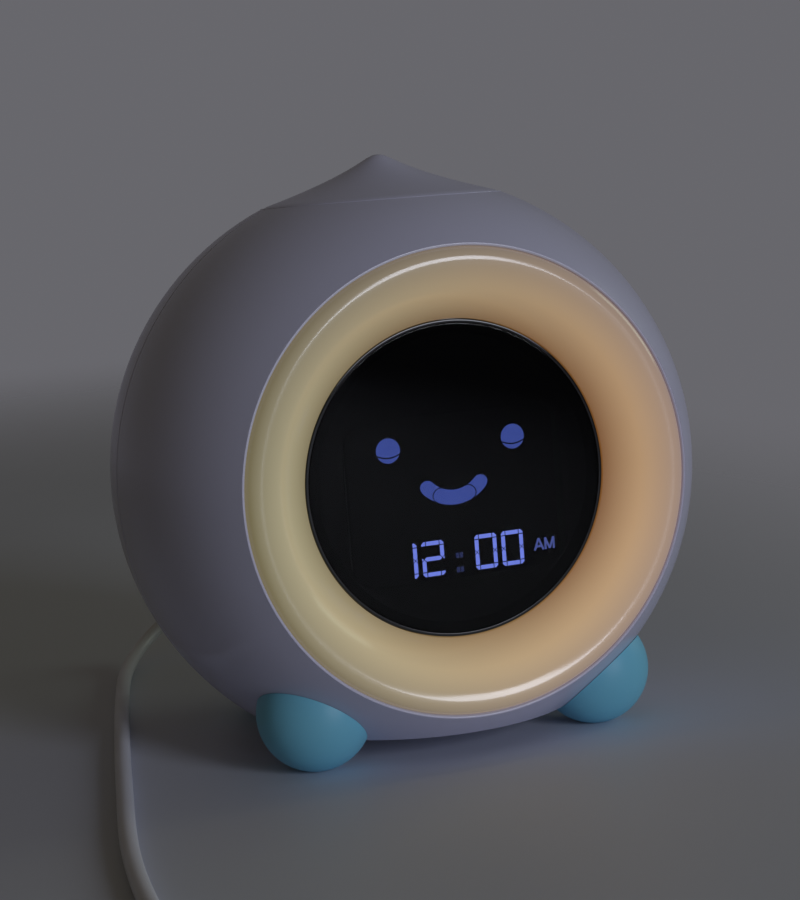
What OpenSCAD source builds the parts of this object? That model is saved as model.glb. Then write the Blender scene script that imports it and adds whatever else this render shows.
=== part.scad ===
// Kids alarm clock with a night-light ring: a round housing on four ball feet,
// a pressable pointed cap, a recessed display, and a lead to a USB-A plug.
// Millimetres. +Z is up, the display faces -Y, and the feet stand on Z = 0.

/* [Housing] */
// Diameter of the round housing
body_d = 145; // [142:1:152]
// Wall thickness of both housing shells
wall = 2.6; // [2.2:0.1:3]
// Radius of the flat underside
base_r = 40.7; // [40:0.1:43]
// Width of the flat land round the back panel
back_land = 3.6; // [3:0.1:5]
// Depth of the V groove where the two shells meet
seam_groove = 0.35; // [0.2:0.05:0.5]
// Wall thickness of the case screws' posts
post_wall = 2.9; // [2.4:0.1:3.2]

/* [Light ring] */
// Radius of the round opening in the front shell
lip_r = 54.2; // [53:0.1:55]
// Height of the light ring's crest control above the rim plane
ring_bulge = 4.05; // [3:0.05:5]
// Wall thickness of the translucent ring
ring_wall = 2.2; // [1.8:0.1:2.6]
// Depth of the display edge behind the rim plane
display_depth = 10; // [9:0.5:11]
// Number of light-emitting diodes behind the ring
led_count = 16; // [8:4:20]

/* [Display] */
// Outer radius of the black display bezel
bezel_r = 37.3; // [37:0.1:38]
// Thickness of the display lens
lens_t = 1.6; // [1.2:0.1:2]
// Depth of the lens face behind the bezel's front edge
lens_recess = 0.3; // [0.2:0.05:0.8]
// Width of the bezel's front lip
bezel_lip = 0.7; // [0.6:0.1:1.2]
// Width of the liquid-crystal glass
lcd_w = 52; // [48:1:53]
// Height of the liquid-crystal glass
lcd_h = 44; // [40:1:45]
// Thickness of every circuit board
board_t = 1.6; // [1.2:0.2:2]

/* [Cap] */
// Radius of the cap at its seam with the housing
cap_r = 29.2; // [28:0.1:30]
// Height of the cap's tip above its seam
cap_rise = 11.05; // [9:0.05:13]
// Wall thickness of the cap
cap_wall = 2.2; // [1.8:0.1:2.6]
// Distance that the cap travels when it is pressed
cap_travel = 1.6; // [1:0.1:1.6]
// Radius of the cap's guide stem
stem_r = 4; // [3.5:0.1:4.5]

/* [Feet] */
// Radius of a ball foot
foot_r = 13.8; // [13:0.1:14.5]
// Sideways distance from the middle to a front foot's centre
foot_x = 36.3; // [34:0.1:38]
// Distance forward from the middle to a front foot's centre
foot_y = 27.1; // [26:0.1:29]
// Sideways distance from the middle to a rear foot's centre
rear_foot_x = 28; // [26:0.1:34]
// Depth of a foot's centre below the round surface
foot_sink = 3.1; // [2:0.1:4]
// Height that the foot's rubbed flat takes off the ball
foot_flat = 0.4; // [0.3:0.05:0.6]

/* [Controls] */
// Radius of the round panel in the back
panel_r = 34; // [33.5:0.1:34.5]
// Thickness of the round panel
panel_t = 2.4; // [2:0.1:2.6]
// Radius of a control button
key_r = 3.6; // [3:0.1:4]
// Spacing of the control buttons
key_pitch = 11; // [10:0.1:11.2]
// Distance that a control button stands proud
key_proud = 1.2; // [0.8:0.1:1.6]
// Distance that a control button travels
key_travel = 0.8; // [0.5:0.1:1]
// Distance that the lock switch slides
slide_travel = 3; // [2:0.1:3.4]
// Radius of the speaker
speaker_r = 13; // [12:0.1:13.4]

/* [Battery] */
// Diameter of one backup cell
cell_d = 10.5; // [10:0.1:10.8]
// Length of one backup cell without its nib
cell_l = 43.3; // [42:0.1:44]

/* [Clearances] */
// Gap round a fixed piece in its opening
fit = 0.2; // [0.1:0.05:0.3]
// Radial clearance of a piece that slides in a bore
run = 0.08; // [0.05:0.01:0.1]
// Radius of the self-tapping screws
screw_r = 1; // [0.8:0.1:1.2]

/* [Cord] */
// Diameter of the cord
cord_d = 4; // [3.6:0.1:4.2]

/* [Hidden] */

big_fn = 120;
mid_fn = 64;
low_fn = 32;

white = [0.90, 0.89, 0.94];
soft_white = [0.93, 0.93, 0.95];
teal = [0.30, 0.70, 0.80];
cream = [0.95, 0.88, 0.70];
black = [0.03, 0.03, 0.04];
smoke = [0.06, 0.06, 0.08];
board_green = [0.08, 0.32, 0.18];
steel = [0.72, 0.73, 0.75];
brass = [0.80, 0.66, 0.35];
grey = [0.45, 0.46, 0.50];

// ---- Levels shared by the pieces ----

body_r = body_d / 2;
inner_r = body_r - wall;
base_drop = sqrt(pow(body_r, 2) - pow(base_r, 2));
back_reach = sqrt(pow(body_r, 2) - pow(panel_r + back_land, 2));
tongue_reach = 3;

// Screws: pilot holes, pan heads, and the smaller heads and bosses inside.
hole_r = screw_r + 0.05;
head_r = 2.6;
screw_head_h = 1.4;
small_head_r = 2;
small_head_h = 1.2;
boss_r = 2.2;
floor_boss_r = 2.8;
door_boss_r = 3.2;
door_boss_h = 8;

// Depths along the face axis, measured forward from the centre.
rim_h = sqrt(pow(body_r, 2) - pow(lip_r, 2));
seat_h = rim_h - 5.2;
flange_t = 1.8;
flange_r = lip_r + 2.4;
land_r = lip_r + 5.3;
display_h = rim_h - display_depth;
lens_h = display_h - lens_recess - lens_t;
shelf_h = lens_h - 1.2;
lcd_t = 2;
lcd_back = shelf_h - lcd_t;
board_face = shelf_h - 6.15;
board_back = board_face - board_t;
bezel_skirt_r = bezel_r + 1.9;
bezel_foot_t = 1.9;
trough_h = seat_h - 14.45;
trough_floor = seat_h - 11.45;
trough_top = seat_h - flange_t - 0.1;
trough_r = flange_r - fit;
trough_in = bezel_skirt_r + 0.8;
trough_wall = 1.4;
floor_t = 1.5;
led_face = trough_floor + floor_t + board_t;
trough_inner_top = display_h - 2.3;
pillar_at = trough_in + 2.3;
pillar_bore = trough_inner_top - board_face - 0.45;
main_board_r = pillar_at + 2.7;
led_board_in = trough_in + trough_wall + fit;
led_board_out = trough_r - trough_wall - fit;
led_r = (led_board_in + led_board_out) / 2;
ear_at = flange_r + 2.5;
ear_r = 2.9;
ear_post_r = 2.4;
ring_boss_h = trough_h + floor_t;
ring_screw_l = floor_t + 6;

// Heights along the cap's axis, measured up from the centre.
cap_edge = sqrt(pow(body_r, 2) - pow(cap_r, 2));
opening_r = cap_r + 0.3;
cap_tip = cap_edge + cap_rise;
skirt_low = cap_edge - 4;
deck_top = skirt_low - cap_travel - 0.15;
deck_t = 2;
deck_r = sqrt(pow(inner_r, 2) - pow(deck_top, 2)) - 1.2;
deck_screw_at = opening_r + 1.9;
deck_screw_yaw = [20, 160, 200, 340];
bush_r = stem_r + 3;
bush_top = deck_top + 2.5;
bush_low = deck_top - 6;
washer_t = 1;
stem_low = bush_low - 0.1;
stem_end = stem_low - washer_t - screw_head_h;
switch_tip = stem_end - cap_travel - 0.05;
switch_h = 4.2;
cap_board_top = switch_tip - switch_h;
cap_post_x = 14;
spring_wire = 0.45;
spring_r = bush_r + 2.2;
collar_low = deck_top + 6.2;

// Feet, and the height of the housing's centre over the table.
foot_z = sqrt(pow(body_r - foot_sink, 2) - pow(foot_x, 2) - pow(foot_y, 2));
rear_foot_y = sqrt(pow(foot_x, 2) + pow(foot_y, 2) - pow(rear_foot_x, 2));
function foot_at(x, y) = y < 0 ? [x * foot_x, -foot_y] : [x * rear_foot_x, rear_foot_y];
body_z = foot_z + foot_r - foot_flat;
peg_r = 4;
foot_screw_r = 1.5;
foot_screw_head = 6;
foot_screw_seat = sqrt(pow(inner_r, 2) - pow(foot_screw_head, 2)) - 0.1;
foot_lean = acos(-foot_z / (body_r - foot_sink));

// Back panel, measured back from the centre.
panel_face = back_reach;
panel_back = panel_face - panel_t;
panel_web = 1;
ledge_t = 2.1;
ledge_back = panel_back - ledge_t;
ledge_r = panel_r - 5;
panel_screw_at = panel_r - 2.5;
key_flange_t = 1.1;
key_flange_r = key_r + 0.8;
key_z = -8.5;
tact_h = 4.3;
key_stem_end = panel_back - key_flange_t - 1.75;
tact_tip = key_stem_end - key_travel - 0.05;
control_face = tact_tip - tact_h;
control_w = 50;
control_low = -29;
control_high = -3.5;
control_post_r = 2;
control_post_z = -16;
control_post_x = sqrt(pow(ledge_r - control_post_r - 0.3, 2) - pow(control_post_z, 2));
speaker_z = speaker_r;
speaker_depth = 10;
slide_z = -19;
thumb_w = 4.4;
thumb_h = 3.4;
// The shoe covers the slot at both ends of its travel and stays clear of the ledge.
shoe_w = thumb_w + 2 * slide_travel + 0.8;
shoe_h = 5.8;
shoe_t = 1.2;
slide_x = sqrt(pow(ledge_r - 0.6, 2) - pow(slide_z - shoe_h / 2, 2)) - slide_travel - shoe_w / 2;
switch_w = 10;
switch_d = 3.8;
port_z = -24.5;
port_w = 9;
port_h = 3.2;
port_depth = 6.5;

// Underside and battery tray, measured down from the centre.
plate_t = 1.6;
plate_top = -base_drop + plate_t;
floor_in = -base_drop + wall;
tray_wall = 1.5;
cell_pitch = cell_d + 0.8;
bay_w = 2 * cell_pitch + cell_d + 1.9;
bay_l = cell_l + 7.7;
bay_h = cell_d + 1.4;
tray_w = bay_w + 2 * tray_wall;
tray_l = bay_l + 2 * tray_wall;
tray_top = plate_top + bay_h + tray_wall;
plate_w = tray_w + 2;
plate_l = tray_l + 14;
plate_corner = 11.5;
door_t = 1.5;
door_w = bay_w + 1;
door_l = bay_l + 1;
door_tab = 10;
tray_screw_x = tray_w / 2 - 7;
tray_screw_y = tray_l / 2 + 3;
tray_screw_l = 3.6;
door_screw_y = tray_l / 2 + 3;
door_end_y = door_screw_y + 3.7;
cell_z = plate_top + 0.5 + cell_d / 2;
// The cells lie across the clock, behind the light ring's trough and the display's board.
tray_y = max(0, tray_w / 2 + 1.5 - trough_h, tray_w / 2 + 1 - board_back);

// Case screws.
case_at = inner_r - 14.4;
case_yaw = 25.6;
case_x = case_at * cos(case_yaw);
case_z = case_at * sin(case_yaw);
case_post_r = hole_r + post_wall;
front_post_l = trough_h - 10.5;
head_seat = 7;

// The light ring's outer curve also sets how far the clock reaches forward.
function bez(a, b, c, d, n) =
    [for (i = [0:n]) let (t = i / n, u = 1 - t)
        u * u * u * a + 3 * u * u * t * b + 3 * u * t * t * c + t * t * t * d];
ring_out = bez([lip_r - fit, rim_h - 2.9], [lip_r - fit, rim_h + ring_bulge - 1.6],
               [lip_r - 5.7, rim_h + ring_bulge], [bezel_r + fit, display_h + fit], 24);
ring_in = bez([lip_r - fit - ring_wall, rim_h - 2.9],
              [lip_r - fit - ring_wall, rim_h + ring_bulge - ring_wall - 1.5],
              [lip_r - 5.7 - ring_wall / 2, rim_h + ring_bulge - ring_wall - 0.4],
              [bezel_r + ring_wall, display_h - 0.4], 16);
front_reach = max([for (p = ring_out) p[1]]);
body_y = -(panel_face + key_proud - front_reach) / 2;

// Cord route, from the boot to the coil, then the coil and the tail to the plug.
cord_r = cord_d / 2;
cord_route = [
    [0, 93, 41], [-2, 101, 38], [-7, 109, 32], [-15, 116, 25], [-24, 119, 18],
    [-33, 119, 12], [-41, 115, 7.5], [-48, 107, 4.2], [-53, 96, 2.4], [-57, 84, 2], [-61, 68, 2],
    [-64, 54, 2], [-68, 38, 2], [-71, 23, 2], [-74, 8, 2], [-78, -8, 2], [-82, -30, 2],
    [-87, -53, 2], [-91, -72, 2], [-93, -86, 2], [-95, -100, 2], [-96, -112, 2], [-97, -126, 2],
    [-97, -140, 2], [-97, -158, 2]
];
tail_route = [[-153, -158, 6], [-153, -152, 5.5], [-153, -146, 4.6], [-153, -141, 4], [-153, -138, 4]];
coil_at = [-125, -158];
coil_turn_r = 28;
coil_turns_wide = 4;
coil_layers = 2;
boot_l = 14;
relief_l = 16;
plug_boot_l = 20;

// ---- Shared shapes ----

module at_centre() {
    translate([0, body_y, body_z]) children();
}

// Turns +Z to face forward, out of the display.
module face_axis() {
    rotate([90, 0, 0]) children();
}

// Places a piece on the back panel, with its +Z pointing out of the back.
module back_at(x, y, z) {
    translate([x, y, z]) rotate([-90, 0, 0]) children();
}

// A profile of [radius, forward distance] points turned about the face axis.
module face_turned(points) {
    face_axis() rotate_extrude($fn = big_fn) polygon(points);
}

module ring(outer, inner, low, high, fn = mid_fn) {
    translate([0, 0, low]) difference() {
        cylinder(r = outer, h = high - low, $fn = fn);
        translate([0, 0, -1]) cylinder(r = inner, h = high - low + 2, $fn = fn);
    }
}

module round_bar(w, h, l, r) {
    linear_extrude(height = l) rounded(w, h, r);
}

// A rectangle with quarter-round corners, made of plain circles and squares.
module rounded(w, h, r) {
    union() {
        square([w - 2 * r, h], center = true);
        square([w, h - 2 * r], center = true);
        for (x = [-1, 1], y = [-1, 1])
            translate([x * (w / 2 - r), y * (h / 2 - r)]) circle(r = r, $fn = low_fn);
    }
}

// Pan-head screw: the head hangs below Z = 0 and the shaft rises above it.
module screw(length, head = head_r, head_h = screw_head_h) {
    difference() {
        translate([0, 0, -head_h]) cylinder(r = head, h = head_h, $fn = low_fn);
        for (a = [0, 90]) rotate([0, 0, a])
            translate([-head * 0.6, -0.25, -head_h - 1]) cube([head * 1.2, 0.5, 1.7]);
    }
    cylinder(r = screw_r, h = length, $fn = low_fn);
}

// A round tube swept through a list of points that never runs straight up.
function unit(v) = v / norm(v);
function heading(p, i) = unit(p[min(i + 1, len(p) - 1)] - p[max(i - 1, 0)]);
function tube_ring(p, i, r, n) =
    let (t = heading(p, i), s = unit(cross(t, [0, 0, 1])), u = cross(s, t))
        [for (k = [0:n - 1]) p[i] + r * (cos(360 * k / n) * s + sin(360 * k / n) * u)];
module tube(p, r, n) {
    last = len(p) - 1;
    polyhedron(
        points = [for (i = [0:last]) each tube_ring(p, i, r, n)],
        faces = concat(
            [[for (k = [n - 1:-1:0]) k]],
            [for (i = [0:last - 1], k = [0:n - 1]) let (j = (k + 1) % n)
                [i * n + k, i * n + j, (i + 1) * n + j, (i + 1) * n + k]],
            [[for (k = [0:n - 1]) last * n + k]]));
}

// Points of a coil spring that rises from low to high while its radius eases from r0 to r1.
function spring_points(r0, r1, low, high, turns, steps) =
    [for (i = [0:turns * steps]) let (f = i / (turns * steps), r = r0 + (r1 - r0) * f)
        [r * cos(360 * i / steps), r * sin(360 * i / steps), low + (high - low) * f]];

// Turns the battery tray's length, modelled along Y, to lie across the clock.
module in_base() {
    translate([0, tray_y, 0]) rotate([0, 0, 90]) children();
}

module for_feet() {
    for (x = [-1, 1], y = [-1, 1]) to_foot(x, y) children();
}

// Points +Z from the housing's centre out through one foot.
module to_foot(x, y) {
    at = foot_at(x, y);
    rotate([0, 0, atan2(at[1], at[0])]) rotate([0, foot_lean, 0]) children();
}

// ---- Housing ----

module housing_solid(r, low) {
    intersection() {
        sphere(r = r, $fn = big_fn);
        translate([-r, -r, low]) cube([2 * r, 2 * r, 2 * r]);
    }
}

module housing_wall() {
    difference() {
        housing_solid(body_r, -base_drop);
        intersection() {
            housing_solid(inner_r, floor_in);
            translate([-body_r, -body_r, -body_r]) cube([body_d, body_r + ledge_back, body_d]);
        }
    }
}

module deck_bosses() {
    intersection() {
        for (a = deck_screw_yaw) rotate([0, 0, a])
            translate([deck_screw_at, 0, deck_top]) cylinder(r = boss_r, h = 8, $fn = low_fn);
        sphere(r = body_r - 0.6, $fn = big_fn);
    }
}

module floor_bosses() {
    in_base() for (x = [-1, 1], y = [-1, 1])
        translate([x * tray_screw_x, y * tray_screw_y, floor_in - 0.5])
            cylinder(r = floor_boss_r, h = tray_screw_l, $fn = low_fn);
}

// Everything that is cut from both shells.
module housing_cuts() {
    // cap opening
    translate([0, 0, deck_top]) cylinder(r = opening_r, h = body_r, $fn = mid_fn);
    for (a = deck_screw_yaw) rotate([0, 0, a])
        translate([deck_screw_at, 0, deck_top - 1]) cylinder(r = hole_r, h = 4.4, $fn = low_fn);
    // seam groove
    face_turned([[body_r - seam_groove, 0], [body_r + 1, -1 - seam_groove],
                 [body_r + 1, 1 + seam_groove]]);
    // foot pegs
    for_feet() translate([0, 0, inner_r - 4]) cylinder(r = peg_r + run, h = 12, $fn = low_fn);
    in_base() tray_cuts();
}

// Cuts for the battery tray: plate recess, box opening and screw holes.
module tray_cuts() {
    translate([0, 0, -base_drop - 1]) linear_extrude(height = plate_t + 1)
        rounded(plate_w + 2 * fit, plate_l + 2 * fit, plate_corner + fit);
    translate([-tray_w / 2 - fit, -tray_l / 2 - fit, -body_r])
        cube([tray_w + 2 * fit, tray_l + 2 * fit, body_r + tray_top + fit]);
    translate([0, 0, -body_r]) linear_extrude(height = body_r + plate_top + door_boss_h) union() {
        translate([0, door_screw_y]) circle(r = door_boss_r + fit, $fn = low_fn);
        translate([-door_boss_r - fit, 0]) square([2 * (door_boss_r + fit), door_screw_y]);
    }
    for (x = [-1, 1], y = [-1, 1])
        translate([x * tray_screw_x, y * tray_screw_y, -body_r])
            cylinder(r = hole_r, h = body_r - base_drop + 1 + tray_screw_l, $fn = low_fn);
}

module case_post(r, low, high) {
    for (x = [-1, 1], z = [-1, 1])
        back_at(x * case_x, low, z * case_z) cylinder(r = r, h = high - low, $fn = low_fn);
}

module front_shell() {
    rib_low = tongue_reach + 0.6;
    color(white) at_centre() difference() {
        union() {
            intersection() {
                housing_wall();
                translate([-body_r, -body_r, -body_r]) cube([body_d, body_r, body_d]);
            }
            intersection() {
                union() {
                    face_axis() ring(land_r, lip_r, seat_h - 5, rim_h - 2, big_fn);
                    for (a = [45:90:315]) face_axis() rotate([0, 0, a])
                        translate([ear_at, 0, ring_boss_h])
                            cylinder(r = ear_post_r, h = seat_h - ring_boss_h + 1, $fn = low_fn);
                    case_post(case_post_r, -front_post_l, 0);
                    for (a = [case_yaw, 180 - case_yaw, 180 + case_yaw, -case_yaw])
                        face_axis() rotate([0, 0, a])
                            translate([case_at, -1, rib_low])
                                cube([body_r - case_at, 2, front_post_l - rib_low]);
                    front_half() deck_bosses();
                    front_half() floor_bosses();
                }
                housing_solid(body_r - 0.6, -base_drop + 0.6);
            }
        }
        housing_cuts();
        // ring opening with a small chamfer, and the pocket for the ring's flange
        face_turned([[0, 20], [lip_r, 20], [lip_r, rim_h - 1.6], [lip_r + 0.9, rim_h - 0.5],
                     [lip_r + 3, body_r], [0, body_r]]);
        face_axis() translate([0, 0, trough_h - 1])
            cylinder(r = flange_r + fit, h = seat_h - trough_h + 1, $fn = big_fn);
        for (a = [45:90:315]) face_axis() rotate([0, 0, a]) translate([ear_at, 0, trough_h]) {
            cylinder(r = hole_r, h = ring_screw_l + 1, $fn = low_fn);
            // room for the screw's head and a driver
            translate([0, 0, -6]) cylinder(r = small_head_r + fit, h = 6, $fn = low_fn);
        }
        case_post(hole_r, -front_post_l + 3, 1);
    }
}

module front_half() {
    intersection() {
        children();
        translate([-body_r, -body_r, -body_r]) cube([body_d, body_r, body_d]);
    }
}

module back_half() {
    intersection() {
        children();
        translate([-body_r, 0, -body_r]) cube([body_d, body_r, body_d]);
    }
}

// Tongue inside the seam that centres the front shell; it stops below the top deck.
module shell_tongue() {
    lip_out = inner_r - fit;
    lip_t = 1.6;
    root = 4;
    step = 0.6;
    difference() {
        face_turned([[lip_out - lip_t, -root], [lip_out + 0.8, -root], [lip_out + 0.8, -step],
                     [lip_out, -step], [lip_out - 0.3, tongue_reach], [lip_out - lip_t, tongue_reach]]);
        translate([-body_r, -2 * tongue_reach, deck_top - deck_t - 1]) cube([body_d, 20, body_r]);
        // clear of the front shell's floor
        translate([-body_r, -2 * tongue_reach, -body_r])
            cube([body_d, 2 * tongue_reach + step, body_r + floor_in + fit]);
    }
}

module rear_shell() {
    color(white) at_centre() difference() {
        union() {
            intersection() {
                housing_wall();
                translate([-body_r, 0, -body_r]) cube([body_d, back_reach, body_d]);
            }
            intersection() {
                union() {
                    shell_tongue();
                    case_post(case_post_r, 0, back_reach);
                    back_half() deck_bosses();
                    back_half() floor_bosses();
                    for (a = [45:90:315]) rotate([0, a, 0])
                        back_at(panel_screw_at, ledge_back - 5, 0)
                            cylinder(r = boss_r, h = 6, $fn = low_fn);
                }
                housing_solid(body_r - 0.6, floor_in - 0.5);
                translate([-body_r, -5, -body_r]) cube([body_d, back_reach + 4, body_d]);
            }
        }
        housing_cuts();
        case_post(screw_r + 0.3, -1, head_seat);
        case_post(head_r + 0.4, head_seat, body_r);
        // seat for the round panel and the window behind it
        back_at(0, panel_back, 0) cylinder(r = panel_r + fit, h = 10, $fn = big_fn);
        back_at(0, ledge_back - 1, 0) cylinder(r = ledge_r, h = 10, $fn = big_fn);
        for (a = [45:90:315]) rotate([0, a, 0])
            back_at(panel_screw_at, panel_back - 6, 0) cylinder(r = hole_r, h = 8, $fn = low_fn);
    }
}

module case_screws() {
    color(steel) at_centre() for (x = [-1, 1], z = [-1, 1])
        translate([x * case_x, head_seat, z * case_z]) face_axis()
            screw(head_seat + front_post_l - 4);
}

// ---- Pressable cap ----

cap_out = bez([0, cap_tip], [3.5, cap_tip], [4, cap_tip - cap_rise / 3], [cap_r, cap_edge], 28);
cap_in = bez([0, cap_tip - cap_wall], [2.6, cap_tip - cap_wall],
             [3, cap_tip - cap_wall - cap_rise / 3], [cap_r - cap_wall, cap_edge - cap_wall], 16);

module top_cap() {
    color(white) at_centre() difference() {
        union() {
            rotate_extrude($fn = big_fn) polygon(concat(
                cap_out,
                [[cap_r, skirt_low], [cap_r - 1.8, skirt_low], [cap_r - 1.8, cap_edge - cap_wall]],
                [for (i = [len(cap_in) - 1:-1:0]) cap_in[i]]));
            translate([0, 0, stem_low])
                cylinder(r = stem_r, h = cap_tip - cap_wall - stem_low - 0.6, $fn = mid_fn);
            intersection() {
                ring(spring_r + 1.6, bush_r + 0.6, collar_low, cap_tip);
                rotate_extrude($fn = big_fn) polygon(concat(cap_out, [[cap_r, 0], [0, 0]]));
            }
        }
        translate([0, 0, stem_low - 1]) cylinder(r = hole_r, h = 9, $fn = low_fn);
    }
}

// Washer and screw under the stem, which stop the cap from lifting out.
module cap_washer() {
    color(steel) at_centre() {
        translate([0, 0, stem_low - washer_t]) {
            ring(stem_r + 2, screw_r, 0, washer_t, low_fn);
            screw(7, head_r);
        }
    }
}

module top_deck() {
    color(white) at_centre() difference() {
        union() {
            translate([0, 0, deck_top - deck_t]) cylinder(r = deck_r, h = deck_t, $fn = big_fn);
            translate([0, 0, bush_low]) cylinder(r = bush_r, h = bush_top - bush_low, $fn = mid_fn);
            for (x = [-1, 1]) translate([x * cap_post_x, 0, cap_board_top])
                cylinder(r = 2.6, h = deck_top - cap_board_top - 1, $fn = low_fn);
        }
        translate([0, 0, bush_low - 1])
            cylinder(r = stem_r + run, h = bush_top - bush_low + 2, $fn = mid_fn);
        for (x = [-1, 1]) translate([x * cap_post_x, 0, cap_board_top - 1])
            cylinder(r = hole_r, h = 7, $fn = low_fn);
        for (a = deck_screw_yaw) rotate([0, 0, a])
            translate([deck_screw_at, 0, deck_top - deck_t - 1])
                cylinder(r = hole_r, h = deck_t + 2, $fn = low_fn);
        // clear of the light ring's trough
        face_axis() translate([0, 0, trough_h - 1.5]) cylinder(r = trough_r + 0.5, h = body_r, $fn = big_fn);
    }
}

// Four screws hold the deck up under the shells, and two hold the switch board.
module deck_screws() {
    color(steel) at_centre() {
        for (a = deck_screw_yaw) rotate([0, 0, a])
            translate([deck_screw_at, 0, deck_top - deck_t])
                screw(deck_t + 3, small_head_r, small_head_h);
        for (x = [-1, 1]) translate([x * cap_post_x, 0, cap_board_top - board_t])
            screw(board_t + 5, small_head_r, small_head_h);
    }
}

module cap_spring() {
    low = deck_top + spring_wire + 0.1;
    high = collar_low - spring_wire - 0.1;
    color(steel) at_centre() tube(spring_points(spring_r, spring_r, low, high, 4, 18), spring_wire, 6);
}

module cap_board() {
    color(board_green) at_centre() difference() {
        translate([-18, -8, cap_board_top - board_t]) cube([36, 16, board_t]);
        for (x = [-1, 1]) translate([x * cap_post_x, 0, cap_board_top - board_t - 1])
            cylinder(r = hole_r, h = board_t + 2, $fn = low_fn);
    }
}

// Tactile switch: a square body with a round plunger.
module tact(height) {
    side = 6;
    leg = [1.2, 0.7, 0.3];
    translate([-side / 2, -side / 2, 0]) cube([side, side, height - 0.8]);
    cylinder(r = 1.7, h = height, $fn = low_fn);
    for (x = [-1, 1], y = [-1, 1])
        translate([x * (side + leg[0]) / 2 - leg[0] / 2, y * 2.2 - leg[1] / 2, 0]) cube(leg);
}

module cap_switch() {
    color(black) at_centre() translate([0, 0, cap_board_top]) tact(switch_h);
}

// ---- Light ring ----

module ring_diffuser() {
    color(cream) at_centre() face_turned(concat(
        [[flange_r, seat_h - flange_t], [flange_r, seat_h], [lip_r - fit, seat_h]],
        ring_out,
        [[bezel_r + fit, display_h - 1.9], [bezel_r + ring_wall, display_h - 1.9]],
        [for (i = [len(ring_in) - 1:-1:0]) ring_in[i]],
        [[lip_r - fit - ring_wall, seat_h - flange_t]]));
}

module ring_reflector() {
    wall_in = trough_r - trough_wall;
    floor_top = trough_floor + floor_t;
    pillar_low = board_face + bezel_foot_t;
    color(soft_white) at_centre() difference() {
        union() {
            face_turned([[trough_in, trough_floor], [wall_in, trough_floor], [wall_in, trough_h],
                         [trough_r, trough_h], [trough_r, trough_top], [wall_in, trough_top],
                         [wall_in, floor_top], [trough_in + trough_wall, floor_top],
                         [trough_in + trough_wall, trough_inner_top], [trough_in, trough_inner_top]]);
            for (a = [45:90:315]) face_axis() rotate([0, 0, a]) {
                trough_ear();
                translate([pillar_at, 0, pillar_low])
                    cylinder(r = boss_r, h = trough_inner_top - pillar_low, $fn = low_fn);
            }
        }
        // clear of the feet's screws
        for_feet() translate([0, 0, foot_screw_seat - screw_head_h - 0.5])
            cylinder(r = foot_screw_head + 0.5, h = 10, $fn = low_fn);
        for (a = [45:90:315]) face_axis() rotate([0, 0, a]) {
            translate([ear_at, 0, trough_h - 1]) cylinder(r = hole_r, h = 4, $fn = low_fn);
            translate([pillar_at, 0, board_face]) cylinder(r = hole_r, h = pillar_bore, $fn = low_fn);
        }
    }
}

// An ear outside the trough for one screw, trimmed where it would meet the shell.
module trough_ear() {
    intersection() {
        difference() {
            translate([ear_at, 0, trough_h]) cylinder(r = ear_r, h = floor_t, $fn = low_fn);
            translate([0, 0, trough_h - 1])
                cylinder(r = trough_r - trough_wall / 2, h = floor_t + 2, $fn = big_fn);
        }
        sphere(r = inner_r - 0.3, $fn = big_fn);
    }
}

// Ring-shaped board, notched round the pillars.
module led_board() {
    color(board_green) at_centre() face_axis() difference() {
        ring(led_board_out, led_board_in, led_face - board_t, led_face, big_fn);
        for (a = [45:90:315]) rotate([0, 0, a]) translate([pillar_at, 0, led_face - board_t - 1])
            cylinder(r = boss_r + 0.3, h = board_t + 2, $fn = low_fn);
    }
}

module leds() {
    color(soft_white) at_centre() for (i = [0:led_count - 1])
        face_axis() rotate([0, 0, 360 * i / led_count + 180 / led_count])
            translate([led_r, 0, led_face]) {
                translate([-1.4, -1.75, 0]) cube([2.8, 3.5, 1.4]);
                cylinder(r = 1.1, h = 1.8, $fn = low_fn);
            }
}

module ring_screws() {
    color(steel) at_centre() for (a = [45:90:315])
        face_axis() rotate([0, 0, a]) translate([ear_at, 0, trough_h])
            screw(ring_screw_l, small_head_r, small_head_h);
}

// ---- Display ----

module display_bezel() {
    color(black) at_centre() difference() {
        face_turned([[bezel_r - bezel_lip, display_h], [bezel_r, display_h], [bezel_r, display_h - 2.6],
                     [bezel_skirt_r, display_h - 2.6], [bezel_skirt_r, board_face + bezel_foot_t],
                     [main_board_r, board_face + bezel_foot_t], [main_board_r, board_face],
                     [bezel_skirt_r - 1.7, board_face], [bezel_skirt_r - 1.7, shelf_h],
                     [bezel_r - 3.3, shelf_h], [bezel_r - 3.3, lens_h], [bezel_r - bezel_lip, lens_h]]);
        for (a = [45:90:315]) face_axis() rotate([0, 0, a])
            translate([pillar_at, 0, board_face - 1]) cylinder(r = hole_r, h = 4, $fn = low_fn);
    }
}

module display_lens() {
    color(smoke) at_centre() face_axis()
        translate([0, 0, lens_h]) cylinder(r = bezel_r - bezel_lip - fit, h = lens_t, $fn = big_fn);
}

lcd_z = -4;

module lcd_glass() {
    color(smoke) at_centre() face_axis() translate([-lcd_w / 2, lcd_z - lcd_h / 2, lcd_back])
        cube([lcd_w, lcd_h, lcd_t - 0.05]);
}

module lcd_backlight() {
    color(soft_white) at_centre() face_axis()
        translate([-lcd_w / 2 + 1, lcd_z - lcd_h / 2 + 1, board_face])
            cube([lcd_w - 2, lcd_h - 2, lcd_back - board_face]);
}

module main_board() {
    color(board_green) at_centre() difference() {
        face_axis() translate([0, 0, board_back])
            cylinder(r = main_board_r, h = board_t, $fn = big_fn);
        for (a = [45:90:315]) face_axis() rotate([0, 0, a])
            translate([pillar_at, 0, board_back - 1]) cylinder(r = hole_r, h = board_t + 2, $fn = low_fn);
    }
}

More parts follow.
